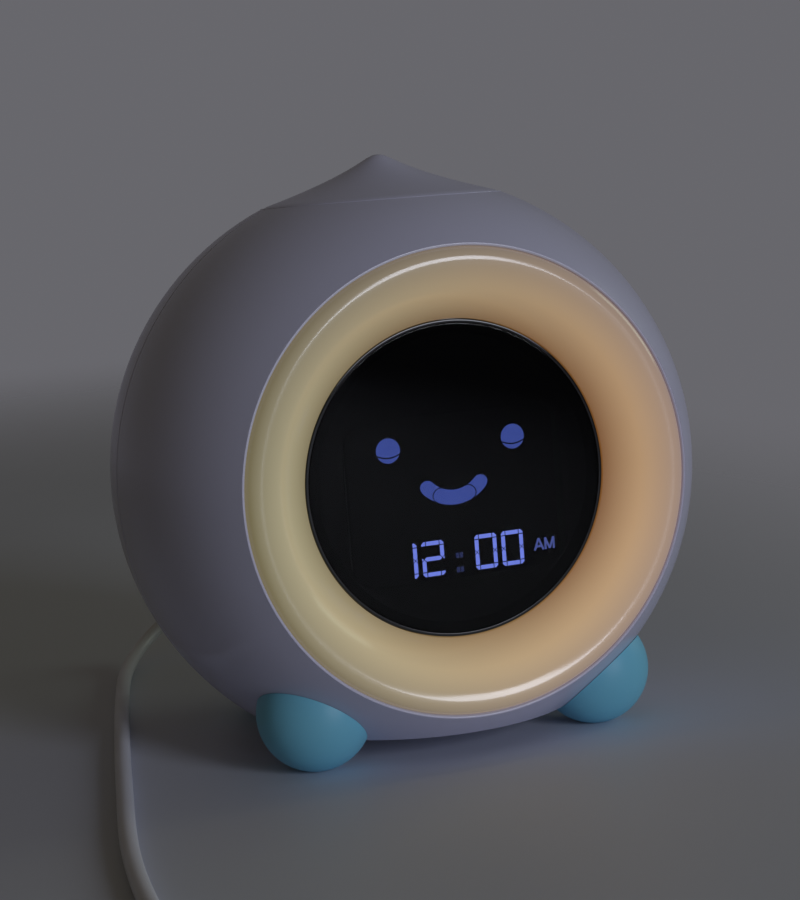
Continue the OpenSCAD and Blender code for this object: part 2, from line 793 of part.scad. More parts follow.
// Controller, memory, regulator and the three wire headers on the back of the board.
module board_chips() {
    color(black) at_centre() face_axis() {
        for (c = [[0, 6, 12, 12, 1.6], [-20, 8, 5, 6, 1.4], [18, 14, 7, 6.5, 2], [18, -2, 4, 5, 1.4],
                  [-16, -18, 12, 5, 5.5], [4, -24, 10, 5, 5.5], [22, -16, 7.5, 5, 5.5]])
            translate([c[0] - c[2] / 2, c[1] - c[3] / 2, board_back - c[4]]) cube([c[2], c[3], c[4]]);
        for (x = [-8, -15]) translate([x, 24, board_back - 6]) cylinder(r = 2.5, h = 6, $fn = low_fn);
    }
}

module display_screws() {
    color(steel) at_centre() for (a = [45:90:315])
        face_axis() rotate([0, 0, a]) translate([pillar_at, 0, board_back])
            screw(board_t + pillar_bore - 0.4, small_head_r, small_head_h);
}

// ---- Back panel and controls ----

// Places of the minus, set, light, alarm and plus keys.
key_x = [for (i = [-2:2]) i * key_pitch];

module rear_panel() {
    speaker_ring_h = 3;
    color(white) at_centre() difference() {
        union() {
            back_at(0, panel_back, 0) cylinder(r = panel_r, h = panel_t, $fn = big_fn);
            // ring that holds the speaker
            back_at(0, panel_back, speaker_z)
                ring(speaker_r + 1.4, speaker_r + run, -speaker_ring_h, 0.5);
            for (x = [-1, 1]) back_at(x * control_post_x, control_face, control_post_z)
                cylinder(r = control_post_r, h = panel_back - control_face + 0.5, $fn = low_fn);
        }
        // speaker grille: rings of round holes
        for (k = [0:3]) for (i = [0:max(k * 6 - 1, 0)])
            back_at(3.1 * k * cos(60 * i / max(k, 1)), panel_back - 1,
                    speaker_z + 3.1 * k * sin(60 * i / max(k, 1)))
                cylinder(r = 0.9, h = panel_t + 2, $fn = 20);
        for (x = key_x) back_at(x, panel_back - 1, key_z)
            cylinder(r = key_r + run, h = panel_t + 2, $fn = low_fn);
        // lock slot
        translate([slide_x - thumb_w / 2 - 0.1, panel_back - 1, slide_z - thumb_h / 2 - run])
            cube([thumb_w + slide_travel + 0.2, panel_t + 2, thumb_h + 2 * run]);
        // port
        back_at(0, panel_back - 1, port_z)
            round_bar(port_w + 0.1, port_h + 0.1, panel_t + 2, port_h / 2 - 0.05);
        for (a = [45:90:315]) rotate([0, a, 0])
            back_at(panel_screw_at, panel_back - 1, 0) {
                cylinder(r = hole_r, h = panel_t + 2, $fn = low_fn);
                translate([0, 0, 1 + panel_web])
                    cylinder(r = small_head_r + 0.1, h = panel_t, $fn = low_fn);
            }
        for (x = [-1, 1]) back_at(x * control_post_x, control_face - 1, control_post_z)
            cylinder(r = hole_r, h = 6, $fn = low_fn);
    }
}

// Four screws hold the panel from outside, and two hold the board from inside.
module panel_screws() {
    color(steel) at_centre() {
        for (a = [45:90:315]) rotate([0, a, 0])
            translate([panel_screw_at, panel_back + panel_web, 0]) face_axis()
                screw(panel_web + 5.5, small_head_r, small_head_h);
        for (x = [-1, 1]) back_at(x * control_post_x, control_face - board_t, control_post_z)
            screw(board_t + 4.5, small_head_r, small_head_h);
    }
}

module speaker() {
    color(grey) at_centre() back_at(0, panel_back, speaker_z) rotate_extrude($fn = mid_fn)
        polygon([[0, -speaker_depth], [speaker_r * 0.55, -speaker_depth],
                 [speaker_r * 0.55, -speaker_depth + 3], [speaker_r * 0.62, -speaker_depth + 3],
                 [speaker_r, -2.4], [speaker_r, -0.05], [speaker_r - 1.5, -0.05],
                 [speaker_r - 1.5, -1.6], [speaker_r * 0.5, -speaker_depth + 4.4],
                 [0, -speaker_depth + 4.4]]);
}

module speaker_cone() {
    color(black) at_centre() back_at(0, panel_back, speaker_z) rotate_extrude($fn = mid_fn)
        polygon([[0, -speaker_depth + 6.4], [2.6, -speaker_depth + 5.6], [3, -speaker_depth + 4.6],
                 [4, -speaker_depth + 4.6], [speaker_r - 1.7, -1.5], [speaker_r - 1.7, -1.1],
                 [speaker_r - 2.6, -1.1], [3.6, -speaker_depth + 5.8],
                 [2.4, -speaker_depth + 6.7], [0, -speaker_depth + 7.2]]);
}

module control_board() {
    color(board_green) at_centre() difference() {
        translate([-control_w / 2, control_face - board_t, control_low])
            cube([control_w, board_t, control_high - control_low]);
        for (x = [-1, 1]) back_at(x * control_post_x, control_face - board_t - 1, control_post_z)
            cylinder(r = hole_r, h = board_t + 2, $fn = low_fn);
    }
}

module tact_switches() {
    color(black) at_centre() for (x = key_x) back_at(x, control_face, key_z) tact(tact_h);
}

// A push button: a proud round cap, a flange behind the panel and a stem to its switch.
module push_button(i) {
    color(soft_white) at_centre() back_at(key_x[i], 0, key_z) {
        difference() {
            translate([0, 0, panel_back - 0.5])
                cylinder(r = key_r, h = panel_t + 0.5 + key_proud, $fn = mid_fn);
            translate([0, 0, panel_face + key_proud + 5.6]) sphere(r = 6.2, $fn = mid_fn);
        }
        translate([0, 0, panel_back - 0.1 - key_flange_t])
            cylinder(r = key_flange_r, h = key_flange_t, $fn = mid_fn);
        translate([0, 0, key_stem_end])
            cylinder(r = 1.5, h = panel_back - key_stem_end - 0.5, $fn = low_fn);
    }
}

module minus_button() { push_button(0); }
module set_button() { push_button(1); }
module light_button() { push_button(2); }
module alarm_button() { push_button(3); }
module plus_button() { push_button(4); }

// Thumb piece of the lock switch, in its slot, with a shoe that covers the slot from inside.
module lock_slider() {
    color(grey) at_centre() translate([slide_x, 0, slide_z]) {
        translate([-thumb_w / 2, panel_back - 0.5, -thumb_h / 2])
            cube([thumb_w, panel_t + key_proud + 0.1, thumb_h]);
        for (x = [-1.4, 0, 1.4])
            translate([x - 0.25, panel_face + key_proud - 0.5, -thumb_h / 2])
                cube([0.5, 0.5, thumb_h]);
        translate([-shoe_w / 2, panel_back - 0.1 - shoe_t, -shoe_h / 2]) cube([shoe_w, shoe_t, shoe_h]);
        translate([-1, control_face + switch_d - 0.3, -1])
            cube([2, panel_back - control_face - switch_d - 0.2, 2]);
    }
}

module lock_switch() {
    color(steel) at_centre() translate([slide_x + slide_travel / 2, control_face, slide_z])
        difference() {
            translate([-switch_w / 2, 0, -2]) cube([switch_w, switch_d, 4]);
            translate([-1.1 - slide_travel / 2 - 0.1, 2, -1.1])
                cube([2.2 + slide_travel + 0.2, 3, 2.2]);
        }
}

module usb_socket() {
    wall_t = 0.3;
    back = panel_back - port_depth + 1.5;
    color(steel) at_centre() back_at(0, 0, port_z) difference() {
        union() {
            translate([0, 0, back]) round_bar(port_w, port_h, panel_face - 1 - back, port_h / 2 - 0.1);
            translate([-4.2, port_h / 2 - 0.4, back]) cube([8.4, 1.4, 4]);
            // stand on the board
            translate([-2.4, -port_h / 2 + 0.3, control_face])
                cube([4.8, port_h - 0.6, back - control_face + 0.4]);
        }
        translate([0, 0, back + 0.8])
            round_bar(port_w - 2 * wall_t, port_h - 2 * wall_t, 20, port_h / 2 - 0.1 - wall_t);
    }
}

// ---- Battery tray ----

module battery_tray() {
    color(white) at_centre() in_base() difference() {
        union() {
            translate([0, 0, -base_drop]) linear_extrude(height = plate_t)
                rounded(plate_w, plate_l, plate_corner);
            translate([-tray_w / 2, -tray_l / 2, plate_top - 0.2])
                cube([tray_w, tray_l, tray_top - plate_top + 0.2]);
            translate([0, door_screw_y, plate_top - 0.2])
                cylinder(r = door_boss_r, h = door_boss_h, $fn = low_fn);
        }
        translate([-bay_w / 2, -bay_l / 2, -base_drop - 1]) cube([bay_w, bay_l, plate_t + 1 + bay_h]);
        // door recess with its screw tab
        translate([-door_w / 2 - fit, -door_l / 2 - fit, -base_drop - 1])
            cube([door_w + 2 * fit, door_l + 2 * fit, plate_t + 1]);
        translate([-door_tab / 2 - fit, 0, -base_drop - 1])
            cube([door_tab + 2 * fit, door_end_y + fit, plate_t + 1]);
        translate([0, door_screw_y, -base_drop]) cylinder(r = hole_r, h = door_boss_h, $fn = low_fn);
        for (x = [-1, 1], y = [-1, 1]) translate([x * tray_screw_x, y * tray_screw_y, -base_drop]) {
            translate([0, 0, -1]) cylinder(r = hole_r, h = plate_t + 2, $fn = low_fn);
            translate([0, 0, -1]) cylinder(r = 2.1, h = 1.8, $fn = low_fn);
        }
    }
}

module battery_door() {
    color(white) at_centre() in_base() translate([0, 0, plate_top - door_t]) difference() {
        union() {
            translate([-door_w / 2, -door_l / 2, 0]) cube([door_w, door_l, door_t]);
            translate([-door_tab / 2, 0, 0]) cube([door_tab, door_end_y, door_t]);
            // ribs that press on the cells
            for (y = [-1, 1]) translate([-bay_w / 2 + 1, y * cell_l / 4 - 0.6, door_t - 0.1])
                cube([bay_w - 2, 1.2, 0.5]);
        }
        translate([0, door_screw_y, -1]) cylinder(r = hole_r + 0.15, h = door_t + 2, $fn = low_fn);
        translate([0, door_screw_y, -1]) cylinder(r = 2.6, h = 1.7, $fn = low_fn);
        // finger grooves
        for (i = [0:3]) translate([-6, -door_l / 2 + 4 + 2 * i, -0.5]) cube([12, 0.8, 0.9]);
    }
}

module door_screw() {
    color(steel) at_centre() in_base()
        translate([0, door_screw_y, plate_top - door_t + 0.7]) screw(door_boss_h - 1, 2.3, 0.6);
}

module tray_screws() {
    color(steel) at_centre() in_base() for (x = [-1, 1], y = [-1, 1])
        translate([x * tray_screw_x, y * tray_screw_y, -base_drop + 0.8])
            screw(tray_screw_l, small_head_r, 0.7);
}

module battery_cells() {
    color(teal) at_centre() in_base() for (i = [-1:1])
        translate([i * cell_pitch, -cell_l / 2, cell_z]) rotate([0, 0, i == 0 ? 180 : 0])
            translate([0, i == 0 ? -cell_l : 0, 0]) rotate([-90, 0, 0]) {
                cylinder(r = cell_d / 2, h = cell_l, $fn = mid_fn);
                translate([0, 0, cell_l - 0.1]) cylinder(r = 1.9, h = 1.3, $fn = low_fn);
            }
}

// A plate and a conical spring at each cell's flat end, and a plate with a pad at its nib.
module battery_contacts() {
    color(brass) at_centre() in_base() for (i = [-1:1]) {
        turned = i == 0 ? 180 : 0;
        translate([i * cell_pitch, 0, cell_z]) rotate([0, 0, turned]) {
            translate([-4, -bay_l / 2, -4]) cube([8, 0.4, 8]);
            translate([0, -bay_l / 2 + 0.3, 0]) rotate([-90, 0, 0])
                tube(spring_points(3.4, 2, 0.3, (bay_l - cell_l) / 2 - 0.75, 3, 14), 0.35, 6);
            translate([-4, bay_l / 2 - 0.4, -4]) cube([8, 0.4, 8]);
            translate([0, cell_l / 2 + 1.25, 0]) rotate([-90, 0, 0])
                cylinder(r = 2.4, h = (bay_l - cell_l) / 2 - 1.45, $fn = low_fn);
        }
    }
}

// ---- Feet ----

// A ball that wraps round the housing, with a peg in the shell and a rubbed flat below.
module foot(x, y) {
    at = foot_at(x, y);
    seat_gap = 0.1;
    color(teal) at_centre() difference() {
        union() {
            difference() {
                translate([at[0], at[1], -foot_z]) sphere(r = foot_r, $fn = mid_fn);
                housing_solid(body_r + seat_gap, -base_drop - seat_gap);
            }
            to_foot(x, y) translate([0, 0, foot_screw_seat + 0.1])
                cylinder(r = peg_r, h = wall + 5.3, $fn = low_fn);
        }
        to_foot(x, y) translate([0, 0, inner_r - 1])
            cylinder(r = foot_screw_r + 0.05, h = 9.4, $fn = low_fn);
        translate([at[0] - foot_r, at[1] - foot_r, -body_z - 5]) cube([2 * foot_r, 2 * foot_r, 5]);
    }
}

module front_left_foot() { foot(-1, -1); }
module front_right_foot() { foot(1, -1); }
module rear_left_foot() { foot(-1, 1); }
module rear_right_foot() { foot(1, 1); }

// Wide-headed screws that pull each foot against the shell from inside.
module foot_screws() {
    color(steel) at_centre() for_feet() translate([0, 0, foot_screw_seat]) {
        translate([0, 0, -screw_head_h])
            cylinder(r = foot_screw_head, h = screw_head_h, $fn = low_fn);
        translate([0, 0, -0.5]) cylinder(r = foot_screw_r, h = 8, $fn = low_fn);
    }
}

// ---- Cord ----

module cord_connector() {
    color(steel) at_centre() back_at(0, panel_face - 5.6, port_z)
        round_bar(port_w - 0.8, port_h - 0.8, 5.7, port_h / 2 - 0.5);
}

// Moulded grip with a tapered strain relief; profile in [half width, distance].
module boot(w, h, l, relief, tip_r) {
    difference() {
        linear_extrude(height = l) rounded(w, h, h / 2 - 0.8);
        for (s = [-1, 1], i = [0:3])
            translate([s * w / 2 - 0.4, -h / 2, l * 0.3 + i * 1.8]) cube([0.8, h, 0.8]);
    }
    translate([0, 0, l]) cylinder(r1 = h / 2 - 0.3, r2 = tip_r, h = relief, $fn = low_fn);
}

module connector_boot() {
    color(soft_white) at_centre() back_at(0, panel_face + 0.1, port_z)
        boot(11, 6.6, boot_l, relief_l - 0.1, cord_r + 0.4);
}

module cord_run() {
    start = [0, body_y + panel_face + boot_l + relief_l, body_z + port_z];
    color(soft_white) tube(concat([start, start + [0, 1, 0]], cord_route), cord_r, 8);
}

module cord_coil() {
    outer = coil_turn_r + cord_r;
    inner = coil_turn_r - (coil_turns_wide - 1) * cord_d - cord_r;
    high = coil_layers * cord_d;
    edge = 0.5;
    color(soft_white) translate([coil_at[0], coil_at[1], 0]) rotate_extrude($fn = mid_fn)
        polygon([[inner, edge], [inner + edge, 0], [outer - edge, 0], [outer, edge],
                 [outer, high - edge], [outer - edge, high], [inner + edge, high],
                 [inner, high - edge]]);
}

module cord_tail() {
    color(soft_white) tube(tail_route, cord_r, 8);
}

// The plug lies on the table beside the coil, its shell pointing away from the tail.
plug_at = tail_route[len(tail_route) - 1];
plug_w = 15.5;
plug_h = 8;

module plug_boot() {
    color(soft_white) translate(plug_at + [0, 14 + plug_boot_l, 0]) rotate([90, 0, 0])
        boot(plug_w, plug_h, plug_boot_l, 14, cord_r + 0.4);
}

module plug_shell() {
    color(steel) translate(plug_at + [0, 14 + plug_boot_l, 0]) rotate([-90, 0, 0]) difference() {
        translate([-6, -2.25, 0]) cube([12, 4.5, 12]);
        translate([-5.6, -1.85, 0.4]) cube([11.2, 1.85, 12]);
        for (x = [-3, 3]) translate([x - 1, -3, 4]) cube([2, 6, 2.2]);
    }
}

front_shell();
rear_shell();
case_screws();
top_cap();
cap_washer();
top_deck();
deck_screws();
cap_spring();
cap_board();
cap_switch();
ring_diffuser();
ring_reflector();
led_board();
leds();
ring_screws();
display_bezel();
display_lens();
lcd_glass();
lcd_backlight();
main_board();
board_chips();
display_screws();
rear_panel();
panel_screws();
speaker();
speaker_cone();
control_board();
tact_switches();
minus_button();
plus_button();
set_button();
alarm_button();
light_button();
lock_slider();
lock_switch();
usb_socket();
battery_tray();
battery_door();
door_screw();
tray_screws();
battery_cells();
battery_contacts();
front_left_foot();
front_right_foot();
rear_left_foot();
rear_right_foot();
foot_screws();
cord_connector();
connector_boot();
cord_run();
cord_coil();
cord_tail();
plug_boot();
plug_shell();
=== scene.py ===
"""Finish of a kids alarm clock with a night-light ring.

The clock stands on Z = 0 and its display faces -Y. Every length is in metres, in the frame's own axes.
"""

import math

import bmesh
import bpy
import numpy as np
from bpy.props import FloatProperty, FloatVectorProperty, IntProperty, PointerProperty
from mathutils import Matrix, Vector


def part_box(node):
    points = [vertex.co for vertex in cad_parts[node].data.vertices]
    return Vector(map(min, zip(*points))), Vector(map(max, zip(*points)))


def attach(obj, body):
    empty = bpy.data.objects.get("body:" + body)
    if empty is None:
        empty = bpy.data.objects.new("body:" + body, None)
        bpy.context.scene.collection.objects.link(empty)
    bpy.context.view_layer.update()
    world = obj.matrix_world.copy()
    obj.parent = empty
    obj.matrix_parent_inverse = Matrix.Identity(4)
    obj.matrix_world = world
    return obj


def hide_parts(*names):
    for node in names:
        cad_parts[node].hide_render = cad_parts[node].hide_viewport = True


bl_info = {
    "name": "Night-light alarm clock finish",
    "version": (1, 0, 0),
    "blender": (4, 5, 0),
    "location": "3D View > Sidebar > Clock",
    "description": "Finishes the clock's shells, light ring, display, controls, feet and lead",
    "category": "Object",
}

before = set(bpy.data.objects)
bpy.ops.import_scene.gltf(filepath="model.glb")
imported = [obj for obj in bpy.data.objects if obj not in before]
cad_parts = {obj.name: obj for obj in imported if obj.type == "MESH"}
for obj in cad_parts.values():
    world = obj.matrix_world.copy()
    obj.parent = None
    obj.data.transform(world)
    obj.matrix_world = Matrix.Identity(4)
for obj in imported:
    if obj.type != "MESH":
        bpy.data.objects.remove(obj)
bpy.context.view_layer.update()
MM = 0.001

# ---- Levels taken from the frame ----

shell_low, shell_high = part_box("front_shell")
ring_low, ring_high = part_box("ring_diffuser")
lens_low, lens_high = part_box("display_lens")
cap_low, cap_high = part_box("top_cap")
boot_low, boot_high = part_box("connector_boot")
plug_low, plug_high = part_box("plug_shell")
slider_low, slider_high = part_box("lock_slider")

BODY_R = (shell_high.x - shell_low.x) / 2
CENTRE = Vector((0.0, shell_high.y, (ring_low.z + ring_high.z) / 2))
FLANGE_R = (ring_high.x - ring_low.x) / 2
LENS_R = (lens_high.x - lens_low.x) / 2
LIP_R = FLANGE_R - 2.4 * MM
BEZEL_R = LENS_R + 0.9 * MM
RIM_H = math.sqrt(BODY_R ** 2 - LIP_R ** 2)
LENS_H = CENTRE.y - lens_high.y
DISPLAY_H = CENTRE.y - lens_low.y + 0.3 * MM
LCD_FACE = CENTRE.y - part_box("lcd_glass")[0].y
CAP_R = (cap_high.x - cap_low.x) / 2
CAP_EDGE = math.sqrt(BODY_R ** 2 - CAP_R ** 2)
CAP_TIP = cap_high.z - CENTRE.z
PANEL_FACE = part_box("rear_panel")[1].y


# ---- What a user would change ----

def colour_property(name, description, default):
    return FloatVectorProperty(name=name, description=description, default=default,
                               subtype="COLOR", size=3, min=0.0, max=1.0)


def amount_property(name, description, default, **more):
    return FloatProperty(name=name, description=description, default=default, min=0.0, **more)


def length_property(name, description, default):
    return amount_property(name, description, default, subtype="DISTANCE", unit="LENGTH")


class ClockShell(bpy.types.PropertyGroup):
    colour: colour_property("Shell colour", "Moulded colour of the shells and the cap", (0.60, 0.60, 0.78))
    roughness: amount_property("Shell roughness", "Roughness of the glossy shells", 0.24, max=1.0,
                               subtype="FACTOR")
    orange_peel: length_property("Orange peel", "Depth of the shells' faint waviness", 0.000004)
    panel_colour: colour_property("Panel colour", "Colour of the matt rear panel and battery parts",
                                  (0.58, 0.58, 0.74))
    foot_colour: colour_property("Foot colour", "Colour of the ball feet", (0.195, 0.56, 0.75))
    mark_colour: colour_property("Mark colour", "Colour of the marks printed on the keys", (0.10, 0.10, 0.14))


class ClockLight(bpy.types.PropertyGroup):
    cream: colour_property("Cream", "Glow on the ring's left", (0.306, 0.264, 0.146))
    peach: colour_property("Peach", "Glow on the ring's right", (0.416, 0.256, 0.126))
    # Painted shade at the ring's inner edge: the glow there is cut to these shares, down to dark amber on the
    # right.
    inner_shade_left: colour_property("Inner cream", "Share of the glow left at the inner edge on the left",
                                 (0.55, 0.51, 0.42))
    inner_shade_right: colour_property("Inner amber", "Share of the glow left at the inner edge on the right",
                                 (0.34, 0.18, 0.02))
    # Painted shade at the ring's outer edge: deeper on the left, lighter and bluer on the right.
    rim_shade_left: colour_property("Rim cream", "Share of the glow left at the outer edge on the left",
                               (0.41, 0.385, 0.29))
    rim_shade_right: colour_property("Rim pink", "Share of the glow left at the outer edge on the right",
                              (0.53, 0.58, 0.95))
    # Painted glow on the shell's rounded edge round the ring, which is no lamp; strongest at the upper left.
    painted_glow: colour_property("Leak", "Light that leaks into the shell's edge round the ring",
                          (0.036, 0.037, 0.033))
    strength: amount_property("Glow strength", "Brightness of the night light", 1.0)
    crest: length_property("Crest", "Height of the ring's curve control above its rim", 0.00405)
    wall: length_property("Wall", "Wall thickness of the translucent ring", 0.0022)


class ClockDisplay(bpy.types.PropertyGroup):
    face_colour: colour_property("Face colour", "Glow of the smiling face", (0.036, 0.058, 0.235))
    digit_colour: colour_property("Digit colour", "Glow of the digits", (0.14, 0.19, 0.62))
    lens_tint: FloatProperty(name="Lens tint", description="Share of light that the smoked lens lets through",
                             default=0.09, min=0.01, max=1.0, subtype="FACTOR")
    eye_radius: length_property("Eye radius", "Radius of each round eye", 0.00296)
    eye_spread: length_property("Eye spread", "Distance of each eye from the middle", 0.01575)
    eye_height: length_property("Eye height", "Height of the eyes above the middle", 0.0081)
    digit_height: length_property("Digit height", "Height of the time's digits", 0.00835)
    digit_width: length_property("Digit width", "Width of a digit", 0.0056)
    stroke: length_property("Stroke", "Width of a digit's bars", 0.00097)


class ClockLead(bpy.types.PropertyGroup):
    diameter: length_property("Diameter", "Diameter of the lead", 0.004)
    coil_radius: length_property("Coil radius", "Radius of the coil's outermost turn", 0.028)
    colour: colour_property("Colour", "Colour of the soft vinyl", (0.74, 0.75, 0.82))
    sides: IntProperty(name="Sides", description="Faces round the lead", default=16, min=6)


class ClockStage(bpy.types.PropertyGroup):
    floor_colour: colour_property("Floor colour", "Colour of the pale floor", (0.63, 0.66, 0.76))
    wall_colour: colour_property("Backdrop colour", "Tone seen behind the clock", (0.137, 0.136, 0.150))
    fill_colour: colour_property("Fill colour", "Tone of the light from all round", (0.045, 0.037, 0.021))
    gloss_colour: colour_property("Gloss colour", "Tone of the surround that glossy pieces mirror",
                                  (0.116, 0.114, 0.135))
    key_power: amount_property("Key power", "Power of the main soft light in watts", 6.3)
    side_power: amount_property("Side power", "Power of the soft light from the right in watts", 1.4)


# ---- Surfaces ----

def joined(*coordinates):
    """Points from their separate coordinates, each of them spread over the whole grid."""
    return np.stack(np.broadcast_arrays(*coordinates), axis=-1)


def grid_faces(rows, columns, wrap_rows, wrap_columns, first=0):
    """Quads that join each point of a grid to its next neighbours; a wrapped direction ends on its start."""
    i = np.arange(rows if wrap_rows else rows - 1)[:, None]
    j = np.arange(columns if wrap_columns else columns - 1)[None, :]
    here = i * columns + j
    below = (i + 1) % rows * columns + j
    beside = i * columns + (j + 1) % columns
    across = (i + 1) % rows * columns + (j + 1) % columns
    return np.stack([here, below, across, beside], axis=-1).reshape(-1, 4) + first


def mesh_piece(name, grids, wrap_rows=False, wrap_columns=False, sharp=35.0):
    """One mesh from grids of points, with its doubles merged, its normals outward and its corners crisp."""
    points, faces, count = [], [], 0
    for grid in grids:
        rows, columns = grid.shape[:2]
        points.append(grid.reshape(-1, 3))
        faces.append(grid_faces(rows, columns, wrap_rows, wrap_columns, count))
        count += rows * columns
    mesh = bpy.data.meshes.new(name)
    mesh.from_pydata(np.concatenate(points).tolist(), [], np.concatenate(faces).tolist())
    work = bmesh.new()
    work.from_mesh(mesh)
    same_point, no_length = 1e-6, 1e-7
    bmesh.ops.remove_doubles(work, verts=work.verts, dist=same_point)
    bmesh.ops.dissolve_degenerate(work, edges=work.edges, dist=no_length)
    bmesh.ops.recalc_face_normals(work, faces=work.faces)
    work.to_mesh(mesh)
    work.free()
    mesh.shade_smooth()
    mesh.set_sharp_from_angle(angle=math.radians(sharp))
    piece = bpy.data.objects.new(name, mesh)
    bpy.context.scene.collection.objects.link(piece)
    return piece


def bezier(a, b, c, d, count):
    """Points of a cubic curve: the four controls weighted by the cubic Bernstein polynomials."""
    t = np.linspace(0.0, 1.0, count)[:, None]
    a, b, c, d = (np.array(p, float) for p in (a, b, c, d))
    return (1 - t) ** 3 * a + 3 * (1 - t) ** 2 * t * b + 3 * (1 - t) * t ** 2 * c + t ** 3 * d


def corner(middle, radius, start, end, count=7):
    """Points of a circular arc about middle, from the start angle to the end angle in degrees."""
    angle = np.radians(np.linspace(start, end, count))
    return np.array(middle) + radius * joined(np.cos(angle), np.sin(angle))


def round_angles(count):
    """Angles in equal steps round a circle, without the one that meets the first."""
    return np.linspace(0.0, 2 * math.pi, count, endpoint=False)


def turned(profile, around=192, upright=False):
    """A [radius, distance] profile turned about the face axis, x = r cos a, z = r sin a, y = -d.

    An upright one is turned about the upright axis: x = r cos a, y = r sin a, z = d.
    """
    angle = round_angles(around)
    radius, distance = profile[:, :1], profile[:, 1:]
    x, other = radius * np.cos(angle), radius * np.sin(angle)
    return np.array(CENTRE) + (joined(x, other, distance) if upright else joined(x, -distance, other))


def bearing(azimuth, elevation):
    """Unit vector from the clock, its azimuth to the right of the front and its elevation in degrees."""
    a, e = math.radians(azimuth), math.radians(elevation)
    return Vector((math.sin(a) * math.cos(e), -math.cos(a) * math.cos(e), math.sin(e)))


def gaps(points):
    """Distances between the neighbouring points of a line."""
    return np.linalg.norm(np.diff(points, axis=0), axis=1)


def smooth_line(points, spacing):
    """A line through the points: cubic Hermite spans whose slopes are the neighbours' mean slopes."""
    steps = gaps(points)
    knots = np.concatenate([[0.0], np.cumsum(steps)])
    slopes = np.gradient(points, knots, axis=0)
    along = np.linspace(0.0, knots[-1], int(knots[-1] / spacing) + 1)
    span = np.clip(np.searchsorted(knots, along, side="right") - 1, 0, len(steps) - 1)
    width = steps[span][:, None]
    t = ((along - knots[span])[:, None]) / width
    h00, h10 = 2 * t ** 3 - 3 * t ** 2 + 1, t ** 3 - 2 * t ** 2 + t
    h01, h11 = -2 * t ** 3 + 3 * t ** 2, t ** 3 - t ** 2
    return (h00 * points[span] + h10 * width * slopes[span]
            + h01 * points[span + 1] + h11 * width * slopes[span + 1])


def closed_tube(path, radius, sides):
    """A round section carried along a path that never runs upright: point + r (cos a side + sin a up).

    Its two ends are drawn in to their middle points.
    """
    ahead = np.gradient(path, axis=0)
    ahead /= np.linalg.norm(ahead, axis=1, keepdims=True)
    side = np.cross(ahead, np.array((0.0, 0.0, 1.0)))
    side /= np.linalg.norm(side, axis=1, keepdims=True)
    up = np.cross(side, ahead)
    angle = round_angles(sides)[None, :, None]
    tube = path[:, None, :] + radius * (np.cos(angle) * side[:, None, :] + np.sin(angle) * up[:, None, :])
    first, last = (np.repeat(end.mean(1, keepdims=True), sides, 1) for end in (tube[:1], tube[-1:]))
    return np.concatenate([first, tube, last])


# ---- Finishes ----

class Nodes:
    """The node tree of a material or a world, and short calls that add nodes to it."""

    def __init__(self, owner):
        owner.use_nodes = True
        self.tree = owner.node_tree

    def feed(self, socket, value):
        """Links an output to a socket, or sets the socket to a constant."""
        if isinstance(value, bpy.types.NodeSocket):
            self.tree.links.new(value, socket)
        else:
            socket.default_value = (*value, 1.0) if socket.type == "RGBA" else value

    def node(self, kind, inputs=None, **settings):
        """A node with its settings, and with its inputs fed by name or number."""
        made = self.tree.nodes.new(kind)
        for name, value in settings.items():
            setattr(made, name, value)
        for name, value in (inputs or {}).items():
            self.feed(made.inputs[name], value)
        return made

    def mix(self, factor, a, b, blend="MIX"):
        inputs = {0: factor, 6: a, 7: b}
        return self.node("ShaderNodeMix", inputs, data_type="RGBA", blend_type=blend).outputs[2]


class Finish(Nodes):
    """A material of plastic, glass or metal. Its patterns read Object coordinates."""

    def __init__(self, name):
        self.material = bpy.data.materials.new(name)
        super().__init__(self.material)
        self.shader = self.tree.nodes["Principled BSDF"]
        self.place = self.node("ShaderNodeTexCoord").outputs["Object"]

    def noise(self, scale, detail=2.0, place=None):
        inputs = {"Vector": place or self.place, "Scale": scale, "Detail": detail}
        return self.node("ShaderNodeTexNoise", inputs).outputs["Fac"]

    def math(self, operation, a, b):
        return self.node("ShaderNodeMath", {0: a, 1: b}, operation=operation).outputs[0]

    def spread(self, value, low, high, to_low, to_high, smooth=False):
        """The value carried from the range low to high over to another, and held at its ends."""
        inputs = {"Value": value, "From Min": low, "From Max": high, "To Min": to_low, "To Max": to_high}
        kind = "SMOOTHSTEP" if smooth else "LINEAR"
        return self.node("ShaderNodeMapRange", inputs, clamp=True, interpolation_type=kind).outputs["Result"]

    def patchy(self, factor, colour, less, more):
        """The colour times one share where the factor is 0 and times another where it is 1."""
        colour = np.array(tuple(colour))
        return self.mix(factor, colour * less, np.minimum(colour * more, 1))

    def vector(self, operation, *values):
        made = self.node("ShaderNodeVectorMath", dict(enumerate(values)), operation=operation)
        return made.outputs["Value" if operation in ("LENGTH", "DOT_PRODUCT") else "Vector"]

    def bump(self, height, distance):
        made = self.node("ShaderNodeBump", {"Height": height, "Strength": 1.0, "Distance": distance})
        self.feed(self.shader.inputs["Normal"], made.outputs["Normal"])

    def put(self, **values):
        for name, value in values.items():
            self.feed(self.shader.inputs[name.replace("_", " ")], value)
        return self.material


def moulded(name, colour, roughness, peel=0.000003, peel_scale=420.0, patch=0.035, **more):
    """Moulded plastic: faint patches of tone, uneven gloss and a fine wavy skin."""
    made = Finish(name)
    tone = made.patchy(made.noise(38.0, 3.0), colour, 1 - patch, 1 + patch)
    gloss = made.spread(made.noise(95.0, 4.0), 0.3, 0.7, roughness * 0.88, roughness * 1.14)
    made.bump(made.noise(peel_scale, 2.0), peel)
    return made.put(Base_Color=tone, Roughness=gloss, **more)


